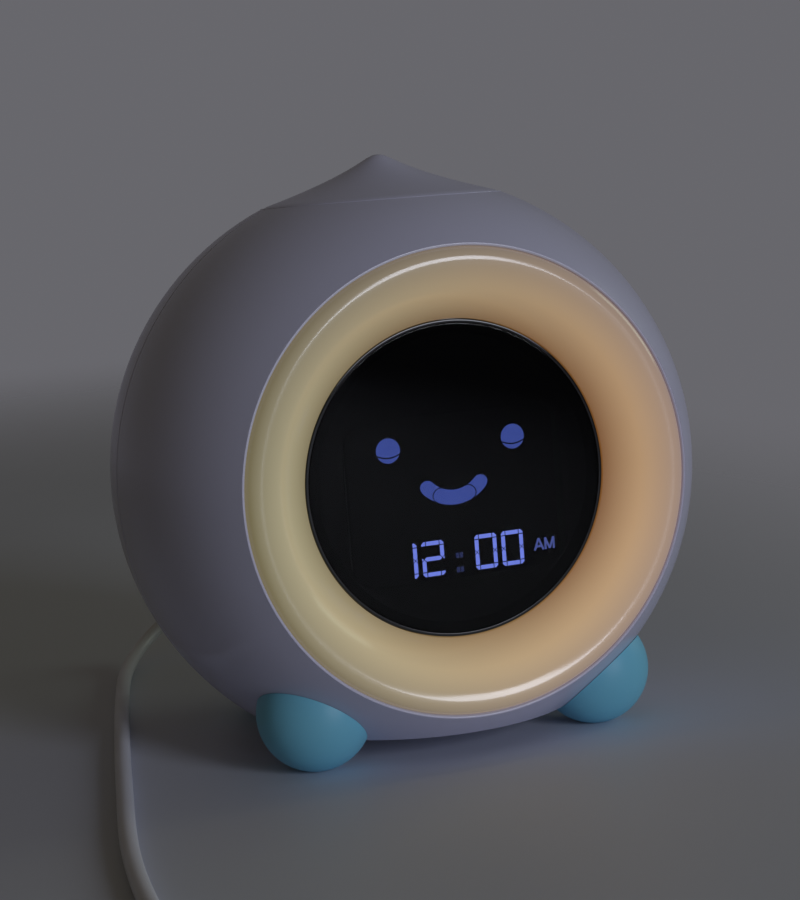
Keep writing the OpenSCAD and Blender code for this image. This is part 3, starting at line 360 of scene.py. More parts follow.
def metal(name, colour, roughness, grain=(900.0, 900.0, 60.0)):
    """Plated metal: a brushed grain drawn out along one axis, with cloudy gloss."""
    made = Finish(name)
    drawn = made.node("ShaderNodeMapping", {"Vector": made.place, "Scale": grain}).outputs["Vector"]
    streak = made.noise(1.0, 3.0, drawn)
    tone = made.patchy(streak, colour, 0.86, 1.06)
    gloss = made.spread(streak, 0.2, 0.8, roughness * 0.8, roughness * 1.3)
    made.bump(streak, 0.000002)
    return made.put(Base_Color=tone, Roughness=gloss, Metallic=1.0)


def wear(piece, material):
    """Gives a piece one finish all over."""
    piece.data.materials.clear()
    piece.data.materials.append(material)


def wear_nodes(material, *names):
    for name in names:
        wear(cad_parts[name], material)


def finished(name, grids, material, body, slot, stands_for=(), thickness=0.0, **mesh):
    """A new piece with its finish, its body, the nodes that it stands for and its thickness. Its slot is not
    used.
    """
    piece = mesh_piece(name, grids, **mesh)
    if thickness:
        solid = piece.modifiers.new("thickness", "SOLIDIFY")
        solid.thickness, solid.offset = thickness, 0.0
    wear(piece, material)
    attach(piece, body)
    if stands_for:
        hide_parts(*stands_for)
    return piece


def turned_piece(name, profile, material, body, slot, stands_for=(), around=192, upright=False, closed=True):
    """A new piece turned from a profile, whose end meets its start where it is closed."""
    return finished(name, [turned(profile, around, upright)], material, body, slot, stands_for,
                    wrap_rows=closed, wrap_columns=True)


# ---- Camera ----

class ClockCameraAdd(bpy.types.Operator):
    """Sets a long lens a little to the clock's left and just above it"""
    bl_idname = "clock.camera_add"
    bl_label = "Add camera"

    def execute(self, context):
        distance, tilt, roll = 0.50330, 0.00716, math.radians(-4.469)
        focal_length, sensor = 80.0, 36.0
        back = bearing(-19.867, 7.064)
        upright = Vector((0.0, 0.0, 1.0))
        level = (-back).cross(upright).normalized()
        ahead = (-back + tilt * level.cross(-back)).normalized()
        right = ahead.cross(upright).normalized()
        up = right.cross(ahead)
        side = math.cos(roll) * right + math.sin(roll) * up
        top = math.cos(roll) * up - math.sin(roll) * right
        data = bpy.data.cameras.new("clock_camera")
        data.lens, data.sensor_width = focal_length, sensor
        data.clip_start = 0.01
        camera = bpy.data.objects.new("clock_camera", data)
        turn = Matrix((side, top, -ahead)).transposed().to_4x4()
        camera.matrix_world = Matrix.Translation(CENTRE + back * distance) @ turn
        context.scene.collection.objects.link(camera)
        context.scene.camera = camera
        return {"FINISHED"}


# ---- Lead ----

LEAD_ROUTE = MM * np.array([
    (0, 93, 41), (-2, 101, 38), (-7, 109, 32), (-15, 116, 25), (-24, 119, 18), (-33, 119, 12),
    (-41, 115, 7.5), (-48, 107, 4.2), (-53, 96, 2.4), (-57, 84, 2), (-61, 68, 2), (-64, 54, 2),
    (-68, 38, 2), (-71, 23, 2), (-74, 8, 2), (-78, -8, 2), (-82, -30, 2), (-87, -53, 2), (-91, -72, 2),
    (-93, -86, 2), (-95, -100, 2), (-96, -112, 2), (-97, -126, 2), (-97, -140, 2)])
LEAD_TAIL = MM * np.array([(-153, -152, 5.5), (-153, -146, 4.6), (-153, -141, 4), (-153, -138, 4)])
COIL_X, COIL_Y = -0.125, -0.158


def coil_points(radius, pitch, turns_wide, per_turn=24):
    """Points of a two-layer coil, clockwise from above.

    The radius falls by one pitch a turn on the lower layer, holds for half a turn while the cord climbs
    one pitch, and grows again by one pitch a turn on the upper layer.
    """
    inward, climb = turns_wide - 1, 0.5
    turn = np.arange(int((2 * inward + climb) * per_turn) + 1) / per_turn
    down = np.clip(turn, 0, inward)
    out = np.clip(turn - inward - climb, 0, inward)
    lift = np.clip((turn - inward) / climb, 0, 1)
    reach = radius - pitch * down + pitch * out
    high = pitch / 2 + pitch * lift ** 2 * (3 - 2 * lift)
    angle = -2 * math.pi * turn
    return joined(COIL_X + reach * np.cos(angle), COIL_Y + reach * np.sin(angle), high)


def eased(path, reach, spacing):
    """The path with each point moved to the mean of its neighbours, weighted by a bell curve of that reach.

    The path is first carried on past its ends by its own point reflection, so its ends stay where they are.
    """
    side = int(4 * reach / spacing)
    before = 2 * path[0] - path[side:0:-1]
    after = 2 * path[-1] - path[-2:-side - 2:-1]
    bell = np.exp(-0.5 * (np.arange(-side, side + 1) * spacing / reach) ** 2)
    longer = np.concatenate([before, path, after])
    return joined(*(np.convolve(column, bell / bell.sum(), "valid") for column in longer.T))


def lead_path(lead):
    """The laid line, eased along its free run, most where it lies flat on the table.

    The easing fades out before the coil, which keeps its radii.
    """
    spacing, fade, turns_wide, lands_at = 0.0015, 0.05, 4, 0.10
    start = np.array([0.0, boot_high.y, (boot_low.z + boot_high.z) / 2])
    leave = start + np.array([0.0, 0.001, 0.0])
    coil = coil_points(lead.coil_radius, lead.diameter, turns_wide)
    path = smooth_line(np.concatenate([[start, leave], LEAD_ROUTE, coil, LEAD_TAIL]), spacing)
    along = np.concatenate([[0.0], np.cumsum(gaps(path))])
    coil_start = along[np.argmin(np.linalg.norm(path - coil[0], axis=1))]
    free = np.clip((coil_start - along) / fade, 0.0, 1.0)[:, None]
    free = free * free * (3 - 2 * free)
    flat = free * np.clip((along - lands_at) / fade, 0.0, 1.0)[:, None]
    for share, reach in ((free, 0.009), (flat, 0.015)):
        path = path + share * (eased(path, reach, spacing) - path)
    path[:, 2] = np.maximum(path[:, 2], lead.diameter / 2)
    return start, path


class ClockLeadAdd(bpy.types.Operator):
    """Lays the lead from its boot along the table into its coil and up to the plug"""
    bl_idname = "clock.lead_add"
    bl_label = "Add lead"

    def execute(self, context):
        lead = context.scene.clock_lead
        start, path = lead_path(lead)
        vinyl = moulded("soft_vinyl", lead.colour, 0.42, peel=0.000004, peel_scale=700.0)
        cord = finished("lead", [closed_tube(path, lead.diameter / 2, lead.sides)], vinyl, "case",
                        "cord_white", ("cord_run", "cord_coil", "cord_tail"), wrap_columns=True)
        wear_nodes(vinyl, "connector_boot", "plug_boot")
        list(self.plug_inside())
        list(self.tie(lead))
        return {"FINISHED"}

    def tie(self, lead):
        """A flat band round the coil's turns, and its two ends twisted together.

        The band follows a rounded rectangle; the ends are a ribbon that turns about its own middle line.
        """
        slack, wide, thick, squareness = 0.4 * MM, 3.0 * MM, 0.35 * MM, 0.4
        low, high = 0.2 * MM, 2 * lead.diameter + slack
        near = lead.coil_radius - 3.25 * lead.diameter - lead.diameter / 2 - slack
        far = lead.coil_radius - 0.5 * lead.diameter + slack
        middle, across = (near + far) / 2, np.linspace(-wide / 2, wide / 2, 5)[None, :]
        angle = round_angles(96)[:, None]
        c, s = np.cos(angle), np.sin(angle)
        reach = middle + (far - near) / 2 * np.sign(c) * np.abs(c) ** squareness
        rise = (low + high) / 2 + (high - low) / 2 * np.sign(s) * np.abs(s) ** squareness
        band = (across, reach, rise)
        length, arch, lift, twists, start_share = 13 * MM, 2.5 * MM, 0.2 * MM, 1.75, 1 / 6
        along = np.linspace(0.0, 1.0, 60)[:, None]
        twist, grown = 2 * math.pi * twists * along, np.minimum(1, along / start_share)
        ends = (across * np.cos(twist), middle + length * along,
                high + lift + arch * np.sin(math.pi * along) + across * np.sin(twist) * grown)
        black = moulded("tie_black", (0.03, 0.03, 0.035), 0.5, peel_scale=1500.0, patch=0.12)
        return [finished(name, [joined(COIL_X + x, COIL_Y + y, z)], black, "case", "component_black",
                         thickness=thick, wrap_rows=closed)
                for name, (x, y, z), closed in (("coil_tie", band, True), ("coil_tie_ends", ends, False))]

    def plug_inside(self):
        """The plug's plastic tongue and its four contact strips, in the open half of the metal shell."""
        middle, mouth = (plug_low.z + plug_high.z) / 2, plug_high.y
        root = plug_low.y + 0.6 * MM
        left, right = plug_low.x + 0.5 * MM, plug_high.x - 0.5 * MM

        def plate(x0, x1, y0, y1, height):
            return joined(np.linspace(x0, x1, 5), np.linspace(y0, y1, 9)[:, None], height)

        tongue = finished("plug_tongue", [plate(left, right, root, mouth - 0.25 * MM, middle + 0.12 * MM)],
                          moulded("tongue_plastic", (0.72, 0.72, 0.74), 0.4, peel_scale=1500.0),
                          "case", "guide_white", thickness=0.2 * MM, sharp=180)
        strip, pitch, centre = 1.0 * MM, 2.3 * MM, (left + right) / 2
        plates = [plate(x - strip / 2, x + strip / 2, mouth - 8.5 * MM, mouth - 1.2 * MM, middle + 0.26 * MM)
                  for x in (centre + (i - 1.5) * pitch for i in range(4))]
        strips = finished("plug_contacts", plates, metal("gold_contact", (0.85, 0.65, 0.30), 0.25),
                          "case", "contact_brass", thickness=0.1 * MM, sharp=180)
        return [tongue, strips]


# ---- Housing ----

class ClockHousingFinish(bpy.types.Operator):
    """Gives the shells their glossy moulded finish and turns the smooth pointed cap"""
    bl_idname = "clock.housing_finish"
    bl_label = "Finish housing"

    def execute(self, context):
        shell = context.scene.clock_shell
        white = moulded("glossy_shell", shell.colour, shell.roughness, peel=shell.orange_peel,
                        peel_scale=160.0, patch=0.02)
        wear_nodes(white, "front_shell", "rear_shell")
        turned_piece("cap_shell", self.cap_profile(), white, "cap", "cap_white", ("top_cap",),
                     upright=True, closed=False)
        round_r, seam_r = 0.2 * MM, CAP_R + 0.5 * MM
        bead = corner((seam_r, math.sqrt(BODY_R ** 2 - seam_r ** 2) - 0.13 * MM), round_r, 0, 360, 17)[:-1]
        turned_piece("cap_opening_edge", bead, white, "case", "shell_white", upright=True)
        return {"FINISHED"}

    def cap_profile(self):
        """Outer curve from the tip to the seam, the skirt, and back inside down the guide stem."""
        rise, wall = CAP_TIP - CAP_EDGE, 2.2 * MM
        skirt_r, skirt_low = CAP_R - 1.8 * MM, CAP_EDGE - 4.0 * MM
        stem_r, stem_low = 4.0 * MM, cap_low.z - CENTRE.z
        outer = bezier((0, CAP_TIP), (3.5 * MM, CAP_TIP), (4 * MM, CAP_TIP - rise / 3), (CAP_R, CAP_EDGE), 72)
        edge = corner((CAP_R - 0.3 * MM, CAP_EDGE - 0.36 * MM), 0.3 * MM, 60, 0, 5)
        inner = bezier((0, CAP_TIP - wall), (2.6 * MM, CAP_TIP - wall), (3 * MM, CAP_TIP - wall - rise / 3),
                       (CAP_R - wall, CAP_EDGE - wall), 24)[::-1]
        inner = inner[inner[:, 0] > stem_r]
        rest = [(CAP_R, skirt_low), (skirt_r, skirt_low), (skirt_r, CAP_EDGE - wall)]
        stem = [(stem_r, inner[-1, 1]), (stem_r, stem_low), (0, stem_low)]
        return np.concatenate([outer[:-1], edge, rest, inner, stem])


# ---- Light ring ----

class ClockRingAdd(bpy.types.Operator):
    """Turns the translucent ring's moulded section and lights it from within"""
    bl_idname = "clock.ring_add"
    bl_label = "Add light ring"

    def execute(self, context):
        light = context.scene.clock_light
        turned_piece("light_ring", self.section(light), self.glow(light), "case", "ring_cream",
                     ("ring_diffuser",), around=288)
        self.opening_edge(light)
        return {"FINISHED"}

    def section(self, light):
        """The outer curve from lip to display, its wall's return, and the flange behind the lip."""
        fit, seat, soft = 0.2 * MM, RIM_H - 5.2 * MM, 0.45 * MM
        outside, wall, crest = LIP_R + 0.05 * MM, light.wall, RIM_H + light.crest
        lip_low, bend_r, collar_low, flange_low = (RIM_H - 2.9 * MM, LIP_R - 5.7 * MM, DISPLAY_H - 1.9 * MM,
                                                   seat - 1.8 * MM)
        outer = bezier((outside, lip_low), (outside, crest - 1.6 * MM), (bend_r, crest),
                       (BEZEL_R + fit + 0.1 * MM, DISPLAY_H + fit), 72)
        turn = corner((BEZEL_R + fit + soft, DISPLAY_H + fit - 0.62 * soft), soft, 141.7, 180, 7)
        inner = bezier((outside - wall, lip_low), (outside - wall, crest - wall - 1.5 * MM),
                       (bend_r - wall / 2, crest - wall - 0.4 * MM),
                       (BEZEL_R + wall, DISPLAY_H - 0.4 * MM), 24)[::-1]
        flange = [(FLANGE_R, flange_low), (FLANGE_R, seat), (outside, seat)]
        collar = [(BEZEL_R + fit, collar_low), (BEZEL_R + wall, collar_low)]
        return np.concatenate([flange, outer, turn[1:], collar, inner, [(outside - wall, flange_low)]])

    def from_axis(self, made):
        """The vector from the face axis to the point, with no part along the axis."""
        return made.vector("MULTIPLY", made.vector("SUBTRACT", made.place, CENTRE), (1.0, 0.0, 1.0))

    def towards(self, made, degrees):
        """1 on the side of the ring at this angle, falling with the cosine to 0 on the far side."""
        angle = math.radians(degrees)
        heading = made.vector("NORMALIZE", self.from_axis(made))
        share = made.vector("DOT_PRODUCT", heading, (math.cos(angle), 0.0, math.sin(angle)))
        return made.spread(share, -1.0, 1.0, 0.0, 1.0)

    def glow(self, light):
        """Light through milky plastic, cream on the left and peach on the right, with painted shade at its
        inner and outer edges: dark amber at the inner edge on the right, deepest at the outer edge on the
        left. It is brighter towards the bottom than at the top.
        """
        made, white = Finish("lit_milky_ring"), (1.0, 1.0, 1.0)
        radius, side = made.vector("LENGTH", self.from_axis(made)), self.towards(made, 0.0)
        inner_r, outer_r, steepness = BEZEL_R - 0.3 * MM, LIP_R - 0.2 * MM, 1.7
        # Painted shade: the glow darkens towards the inner edge and towards the outer edge.
        inward = made.spread(radius, inner_r, BEZEL_R + 9.2 * MM, 1.0, 0.0)
        inward = made.math("POWER", inward, steepness)
        outward = made.spread(radius, LIP_R - 10.2 * MM, outer_r, 0.0, 1.0)
        tone = made.mix(side, light.cream, light.peach)
        inner_edge_shade = made.mix(self.towards(made, 12.0), light.inner_shade_left, light.inner_shade_right)
        # Painted shade at the outer edge, deeper on the left than on the right.
        outer_edge_shade = made.mix(side, light.rim_shade_left, light.rim_shade_right)
        glow = made.mix(1.0, tone, made.mix(inward, white, inner_edge_shade), "MULTIPLY")
        glow = made.mix(1.0, glow, made.mix(outward, white, outer_edge_shade), "MULTIPLY")
        level = made.math("MULTIPLY", made.spread(self.towards(made, 90.0), 0.0, 1.0, 1.13, 0.87),
                          made.spread(made.noise(26.0, 1.0), 0.2, 0.8, 0.97, 1.03))
        made.bump(made.noise(240.0, 1.0), 0.000002)
        milky = made.mix(side, (0.26, 0.26, 0.22), (0.275, 0.235, 0.21))
        gloss = made.spread(made.noise(120.0, 3.0), 0.3, 0.7, 0.15, 0.20)
        return made.put(Base_Color=milky, Roughness=gloss, Emission_Color=glow,
                        Emission_Strength=made.math("MULTIPLY", level, light.strength),
                        Coat_Weight=0.35, Coat_Roughness=0.09)

    def opening_edge(self, light):
        """The opening's rounded edge, a full round bead, given a painted glow that is strongest at the upper
        left.
        """
        middle, bead_r = (LIP_R + 0.5 * MM, RIM_H - 1.29 * MM), 0.46 * MM
        bead = corner(middle, bead_r, 0, 360, 25)[:-1]
        made, shell = Finish("painted_glow_shell_edge"), bpy.context.scene.clock_shell
        tone = made.patchy(made.noise(38.0, 3.0), shell.colour, 0.98, 1.02)
        # Painted glow: emission on the shell bead, strongest towards the upper left.
        painted_glow = made.spread(self.towards(made, 115.0), 0.3, 1.0, 0.0, 1.0, smooth=True)
        made.bump(made.noise(160.0), shell.orange_peel)
        made.put(Base_Color=tone, Roughness=made.spread(made.noise(95.0), 0.3, 0.7, 0.21, 0.27),
                 Emission_Color=light.painted_glow, Emission_Strength=painted_glow)
        turned_piece("ring_opening_edge", bead, made.material, "case", "shell_white", around=288)


# ---- Display ----

def face_points(x, z, depth):
    """Points on the display's plane at a depth measured forward from the clock's centre."""
    return joined(CENTRE.x + x, CENTRE.y - depth, CENTRE.z + z)


def bar(start, end, width, begin=(0.0, 0.0, 0.0), stop=(0.0, 0.0, 0.0)):
    """A straight bar as a grid of three edges: left, middle and right, each shortened at both ends."""
    start, end = np.array(start, float), np.array(end, float)
    ahead = (end - start) / np.linalg.norm(end - start)
    left = np.array([-ahead[1], ahead[0]])
    offset = np.array([width / 2, 0.0, -width / 2])[:, None] * left
    first = start + offset + np.array(begin)[:, None] * ahead
    last = end + offset - np.array(stop)[:, None] * ahead
    return np.stack([first, last])


def digit_bars(shape, left, bottom, width, height, stroke):
    """Bars of a seven-bar digit; its letters name the bars a to g that are lit.

    Bars meet at bevelled corner squares with a thin gap. At mid height the bars come to points, and small
    triangles fill what they leave of the square.
    """
    gap, half = 0.11 * MM, stroke / 2
    x0, x1 = left + half, left + width - half
    z0, z2 = bottom + half, bottom + height - half
    z1 = (z0 + z2) / 2
    flat, point = (half + 2 * gap,) * 3, (half + gap, gap, half + gap)
    ends = {
        "a": ((x0, z2), (x1, z2), flat, flat), "d": ((x0, z0), (x1, z0), flat, flat),
        "g": ((x0, z1), (x1, z1), point, point),
        "f": ((x0, z2), (x0, z1), flat, point), "b": ((x1, z2), (x1, z1), flat, point),
        "e": ((x0, z1), (x0, z0), point, flat), "c": ((x1, z1), (x1, z0), point, flat),
    }
    bars = [bar(start, end, stroke, begin, stop) for letter, (start, end, begin, stop) in ends.items()
            if letter in shape]
    corners = {"fa": (x0, z2, -1, 1), "ab": (x1, z2, 1, 1), "cd": (x1, z0, 1, -1), "de": (x0, z0, -1, -1)}
    bevel = 0.6
    for letters, (x, z, sx, sz) in corners.items():
        if letters[0] in shape or letters[1] in shape:
            near_x, near_z, far_x, far_z = x - sx * half, z - sz * half, x + sx * half, z + sz * half
            cut_x, cut_z = x + sx * half * (1 - 2 * bevel), z + sz * half * (1 - 2 * bevel)
            bars.append(np.array([[(near_x, far_z), (cut_x, far_z)], [(near_x, near_z), (far_x, cut_z)],
                                  [(near_x, near_z), (far_x, near_z)]]))
    crossbar = "g" in shape
    for uprights, x, away in (("fe", x0, -1), ("bc", x1, 1)):
        lit = sum(letter in shape for letter in uprights)
        outside, inside = lit == 2 or (lit == 1 and crossbar), lit == 2 and not crossbar
        for side, shown in ((away, outside), (-away, inside)):
            if shown:
                edge, tip = x + side * half, (x + side * gap, z1)
                bars.append(np.array([[(edge, z1 + half - gap), (edge, z1 - half + gap)], [tip, tip]]))
    return bars


class ClockDisplayAdd(bpy.types.Operator):
    """Adds the rounded bezel, the smoked lens and the glowing face, time and AM behind it"""
    bl_idname = "clock.display_add"
    bl_label = "Add display"

    def execute(self, context):
        display = context.scene.clock_display
        gloss_black = moulded("bezel_black", (0.004, 0.004, 0.005), 0.06, peel=0.0000005, patch=0.1,
                              Specular_IOR_Level=0.4)
        turned_piece("bezel_ring", self.bezel_section(), gloss_black, "case", "bezel_black",
                     ("display_bezel",), around=240)
        turned_piece("smoked_lens", self.lens_section(), self.smoked_glass(display.lens_tint), "case",
                     "smoked_lens", ("display_lens",), around=240, closed=False)
        ink = moulded("mask_ink", (0.003, 0.003, 0.0035), 0.6, peel_scale=1500.0, patch=0.1,
                      Specular_IOR_Level=0.05)
        finished("display_mask", [self.mask_grid()], ink, "case", "bezel_black", thickness=0.05 * MM,
                 wrap_columns=True, sharp=180)

        digit = np.array(tuple(display.digit_colour))
        for name, grids, colour in (("glowing_face", self.face_grids(display), display.face_colour),
                                    ("glowing_time", self.time_grids(display), digit),
                                    ("glowing_am", self.am_grids(), 0.36 * digit),
                                    ("unlit_colon", self.colon_grids(), 0.10 * digit)):
            self.glowing(name, grids, colour, display.lens_tint)
        wear_nodes(moulded("dark_glass", (0.003, 0.003, 0.004), 0.08, peel=0.0000005,
                           Specular_IOR_Level=0.05), "lcd_glass")
        return {"FINISHED"}

    def mask_grid(self):
        """A sheet between a rounded window, |x/a|^8 + |z/b|^8 = 1 a little below the middle, and a circle."""
        half_wide, half_high, drop, outside = 27.5 * MM, 19.5 * MM, -4.0 * MM, LENS_R - 2.45 * MM
        angle, power = round_angles(160), 8
        c, s = np.cos(angle), np.sin(angle)
        reach = ((np.abs(c) / half_wide) ** power + (np.abs(s) / half_high) ** power) ** (-1 / power)
        t = np.linspace(0.0, 1.0, 4)[:, None]
        across, up = (1 - t) * reach * c + t * outside * c, (1 - t) * (reach * s + drop) + t * outside * s
        return face_points(across, up, LENS_H - 0.06 * MM)

    def bezel_section(self):
        """A closed section: rounded front lip, seat for the lens, deep skirt and foot flange."""
        skirt, shelf, step = BEZEL_R + 1.9 * MM, LENS_H - 1.2 * MM, DISPLAY_H - 2.6 * MM
        foot_r, inside, seat_r = skirt + 3.9 * MM, skirt - 1.7 * MM, BEZEL_R - 3.3 * MM
        foot_low = shelf - 6.15 * MM
        foot_high = foot_low + 1.9 * MM
        inner, soft, face, outer_soft = LENS_R + 0.04 * MM, 0.22 * MM, LENS_H + 1.8 * MM, 0.16 * MM
        return np.concatenate([
            [(inner, LENS_H)], corner((inner + soft, face - soft), soft, 180, 90),
            corner((BEZEL_R - outer_soft, face - outer_soft), outer_soft, 90, 0, 9),
            [(BEZEL_R, step), (skirt, step), (skirt, foot_high), (foot_r, foot_high), (foot_r, foot_low),
             (inside, foot_low), (inside, shelf), (seat_r, shelf), (seat_r, LENS_H)]])

    def lens_section(self):
        """A flat disc whose front edge is ground to a small round."""
        front, soft = LENS_H + 1.6 * MM, 0.06 * MM
        flat_r = LENS_R - soft - 0.2 * MM
        return np.concatenate([[(0.0, front), (flat_r, front)],
                               corner((LENS_R - soft, front - soft), soft, 90, 0, 9),
                               [(LENS_R, LENS_H), (0.0, LENS_H)]])

    def smoked_glass(self, tint):
        made = Finish("smoked_glass")
        smear = made.noise(55.0, 5.0)
        tone = made.mix(smear, (0.95 * tint, 0.95 * tint, tint), (1.02 * tint, 1.02 * tint, 1.07 * tint))
        gloss = made.spread(smear, 0.45, 0.75, 0.02, 0.045)
        return made.put(Base_Color=tone, Roughness=gloss, Transmission_Weight=1.0, IOR=1.2)

    def glowing(self, name, grids, colour, tint):
        """Thin lit plates on the face of the cell; their light is uneven as a segment's is."""
        depth, through, made = LCD_FACE + 0.03 * MM, 1.08 / tint, Finish(name)
        light = made.patchy(made.noise(700.0, 2.0), colour, 0.9, 1.1)
        made.put(Base_Color=(0.02, 0.02, 0.03), Roughness=0.6, Emission_Color=light,
                 Emission_Strength=through)
        finished(name, [face_points(g[..., 0], g[..., 1], depth) for g in grids], made.material, "case",
                 "guide_white", thickness=0.05 * MM, sharp=180)

    def face_grids(self, display):
        """Two eyes, each parted by a curved lid line, and a mouth of three rounded pieces on one arc."""
        r, gap = display.eye_radius, 0.32 * MM
        lid_low, lid_bend, lid_reach = -1.72 * MM, 90.0, 0.91
        x = r * np.sin(np.linspace(-math.pi / 2, math.pi / 2, 41))
        half, lid = np.sqrt(np.maximum(r * r - x * x, 0)), lid_low + lid_bend * x * x
        dome = np.stack([np.maximum(lid + gap / 2, -half), half])
        below = np.abs(x) < lid_reach * r
        low = np.stack([-half, np.maximum(lid - gap / 2, -half)])[:, below]
        grids = []
        for side in (-1, 1):
            for across, heights in ((x, dome), (x[below], low)):
                grids.append(joined(side * display.eye_spread + across, display.eye_height + heights))
        arc_r, band, middle_z = 9.2 * MM, 1.77 * MM, -4.6 * MM
        half_middle, half_mouth = 3.6 * MM, 7.5 * MM
        s = np.linspace(-1, 1, 25)[:, None]
        cap = band * np.sqrt(np.maximum(1 - s * s, 0))
        notch = np.sqrt((band + gap / 1.3) ** 2 - (band * s) ** 2)
        u = np.linspace(0, 1, 25)[None, :]
        spans = [(-half_middle - cap, half_middle + cap), (half_middle + notch, half_mouth + cap),
                 (-half_mouth - cap, -half_middle - notch)]
        for first, last in spans:
            along = first + (last - first) * u
            angle, reach = along / arc_r, arc_r + band * s
            grids.append(joined(reach * np.sin(angle), middle_z + arc_r - reach * np.cos(angle)))
        return grids

    def time_grids(self, display):
        """Twelve o'clock in seven-bar digits, which stand on one line."""
        wide, high, stroke, base = display.digit_width, display.digit_height, display.stroke, -22.65 * MM
        one, two, zero = "bc", "abged", "abcdef"
        digits = ((one, -10.55 * MM - wide), (two, -9.35 * MM), (zero, 4.15 * MM), (zero, 11.0 * MM))
        return [grid for shape, left in digits for grid in digit_bars(shape, left, base, wide, high, stroke)]

    def am_grids(self):
        """Bars along the letters' straight strokes, which are drawn in a box one unit high."""
        size, stroke, base = 2.85 * MM, 0.52 * MM, -20.0 * MM
        letter_a = [(0.0, 0.0, 0.40, 1.0), (0.40, 1.0, 0.80, 0.0), (0.14, 0.33, 0.66, 0.33)]
        letter_m = [(0.0, 0.0, 0.0, 1.0), (0.0, 1.0, 0.38, 0.05), (0.38, 0.05, 0.76, 1.0),
                    (0.76, 1.0, 0.76, 0.0)]
        return [bar((left + a * size, base + b * size), (left + c * size, base + d * size), stroke)
                for paths, left in ((letter_a, 19.5 * MM), (letter_m, 22.35 * MM)) for a, b, c, d in paths]

    def colon_grids(self):
        return [bar((x - 0.42 * MM, z), (x + 0.42 * MM, z), 1.25 * MM)
                for z in (-18.5 * MM, -21.95 * MM) for x in (-0.45 * MM, 0.55 * MM)]


# ---- Feet ----

class ClockFeetFinish(bpy.types.Operator):
    """Gives the ball feet their satin teal"""
    bl_idname = "clock.feet_finish"
    bl_label = "Finish feet"

    def execute(self, context):
        teal = moulded("satin_teal", context.scene.clock_shell.foot_colour, 0.42, peel=0.000003,
                       peel_scale=600.0, patch=0.03, Specular_IOR_Level=0.3)
        wear_nodes(teal, "front_left_foot", "front_right_foot", "rear_left_foot", "rear_right_foot")
        return {"FINISHED"}


# ---- Back, underside and inner parts ----

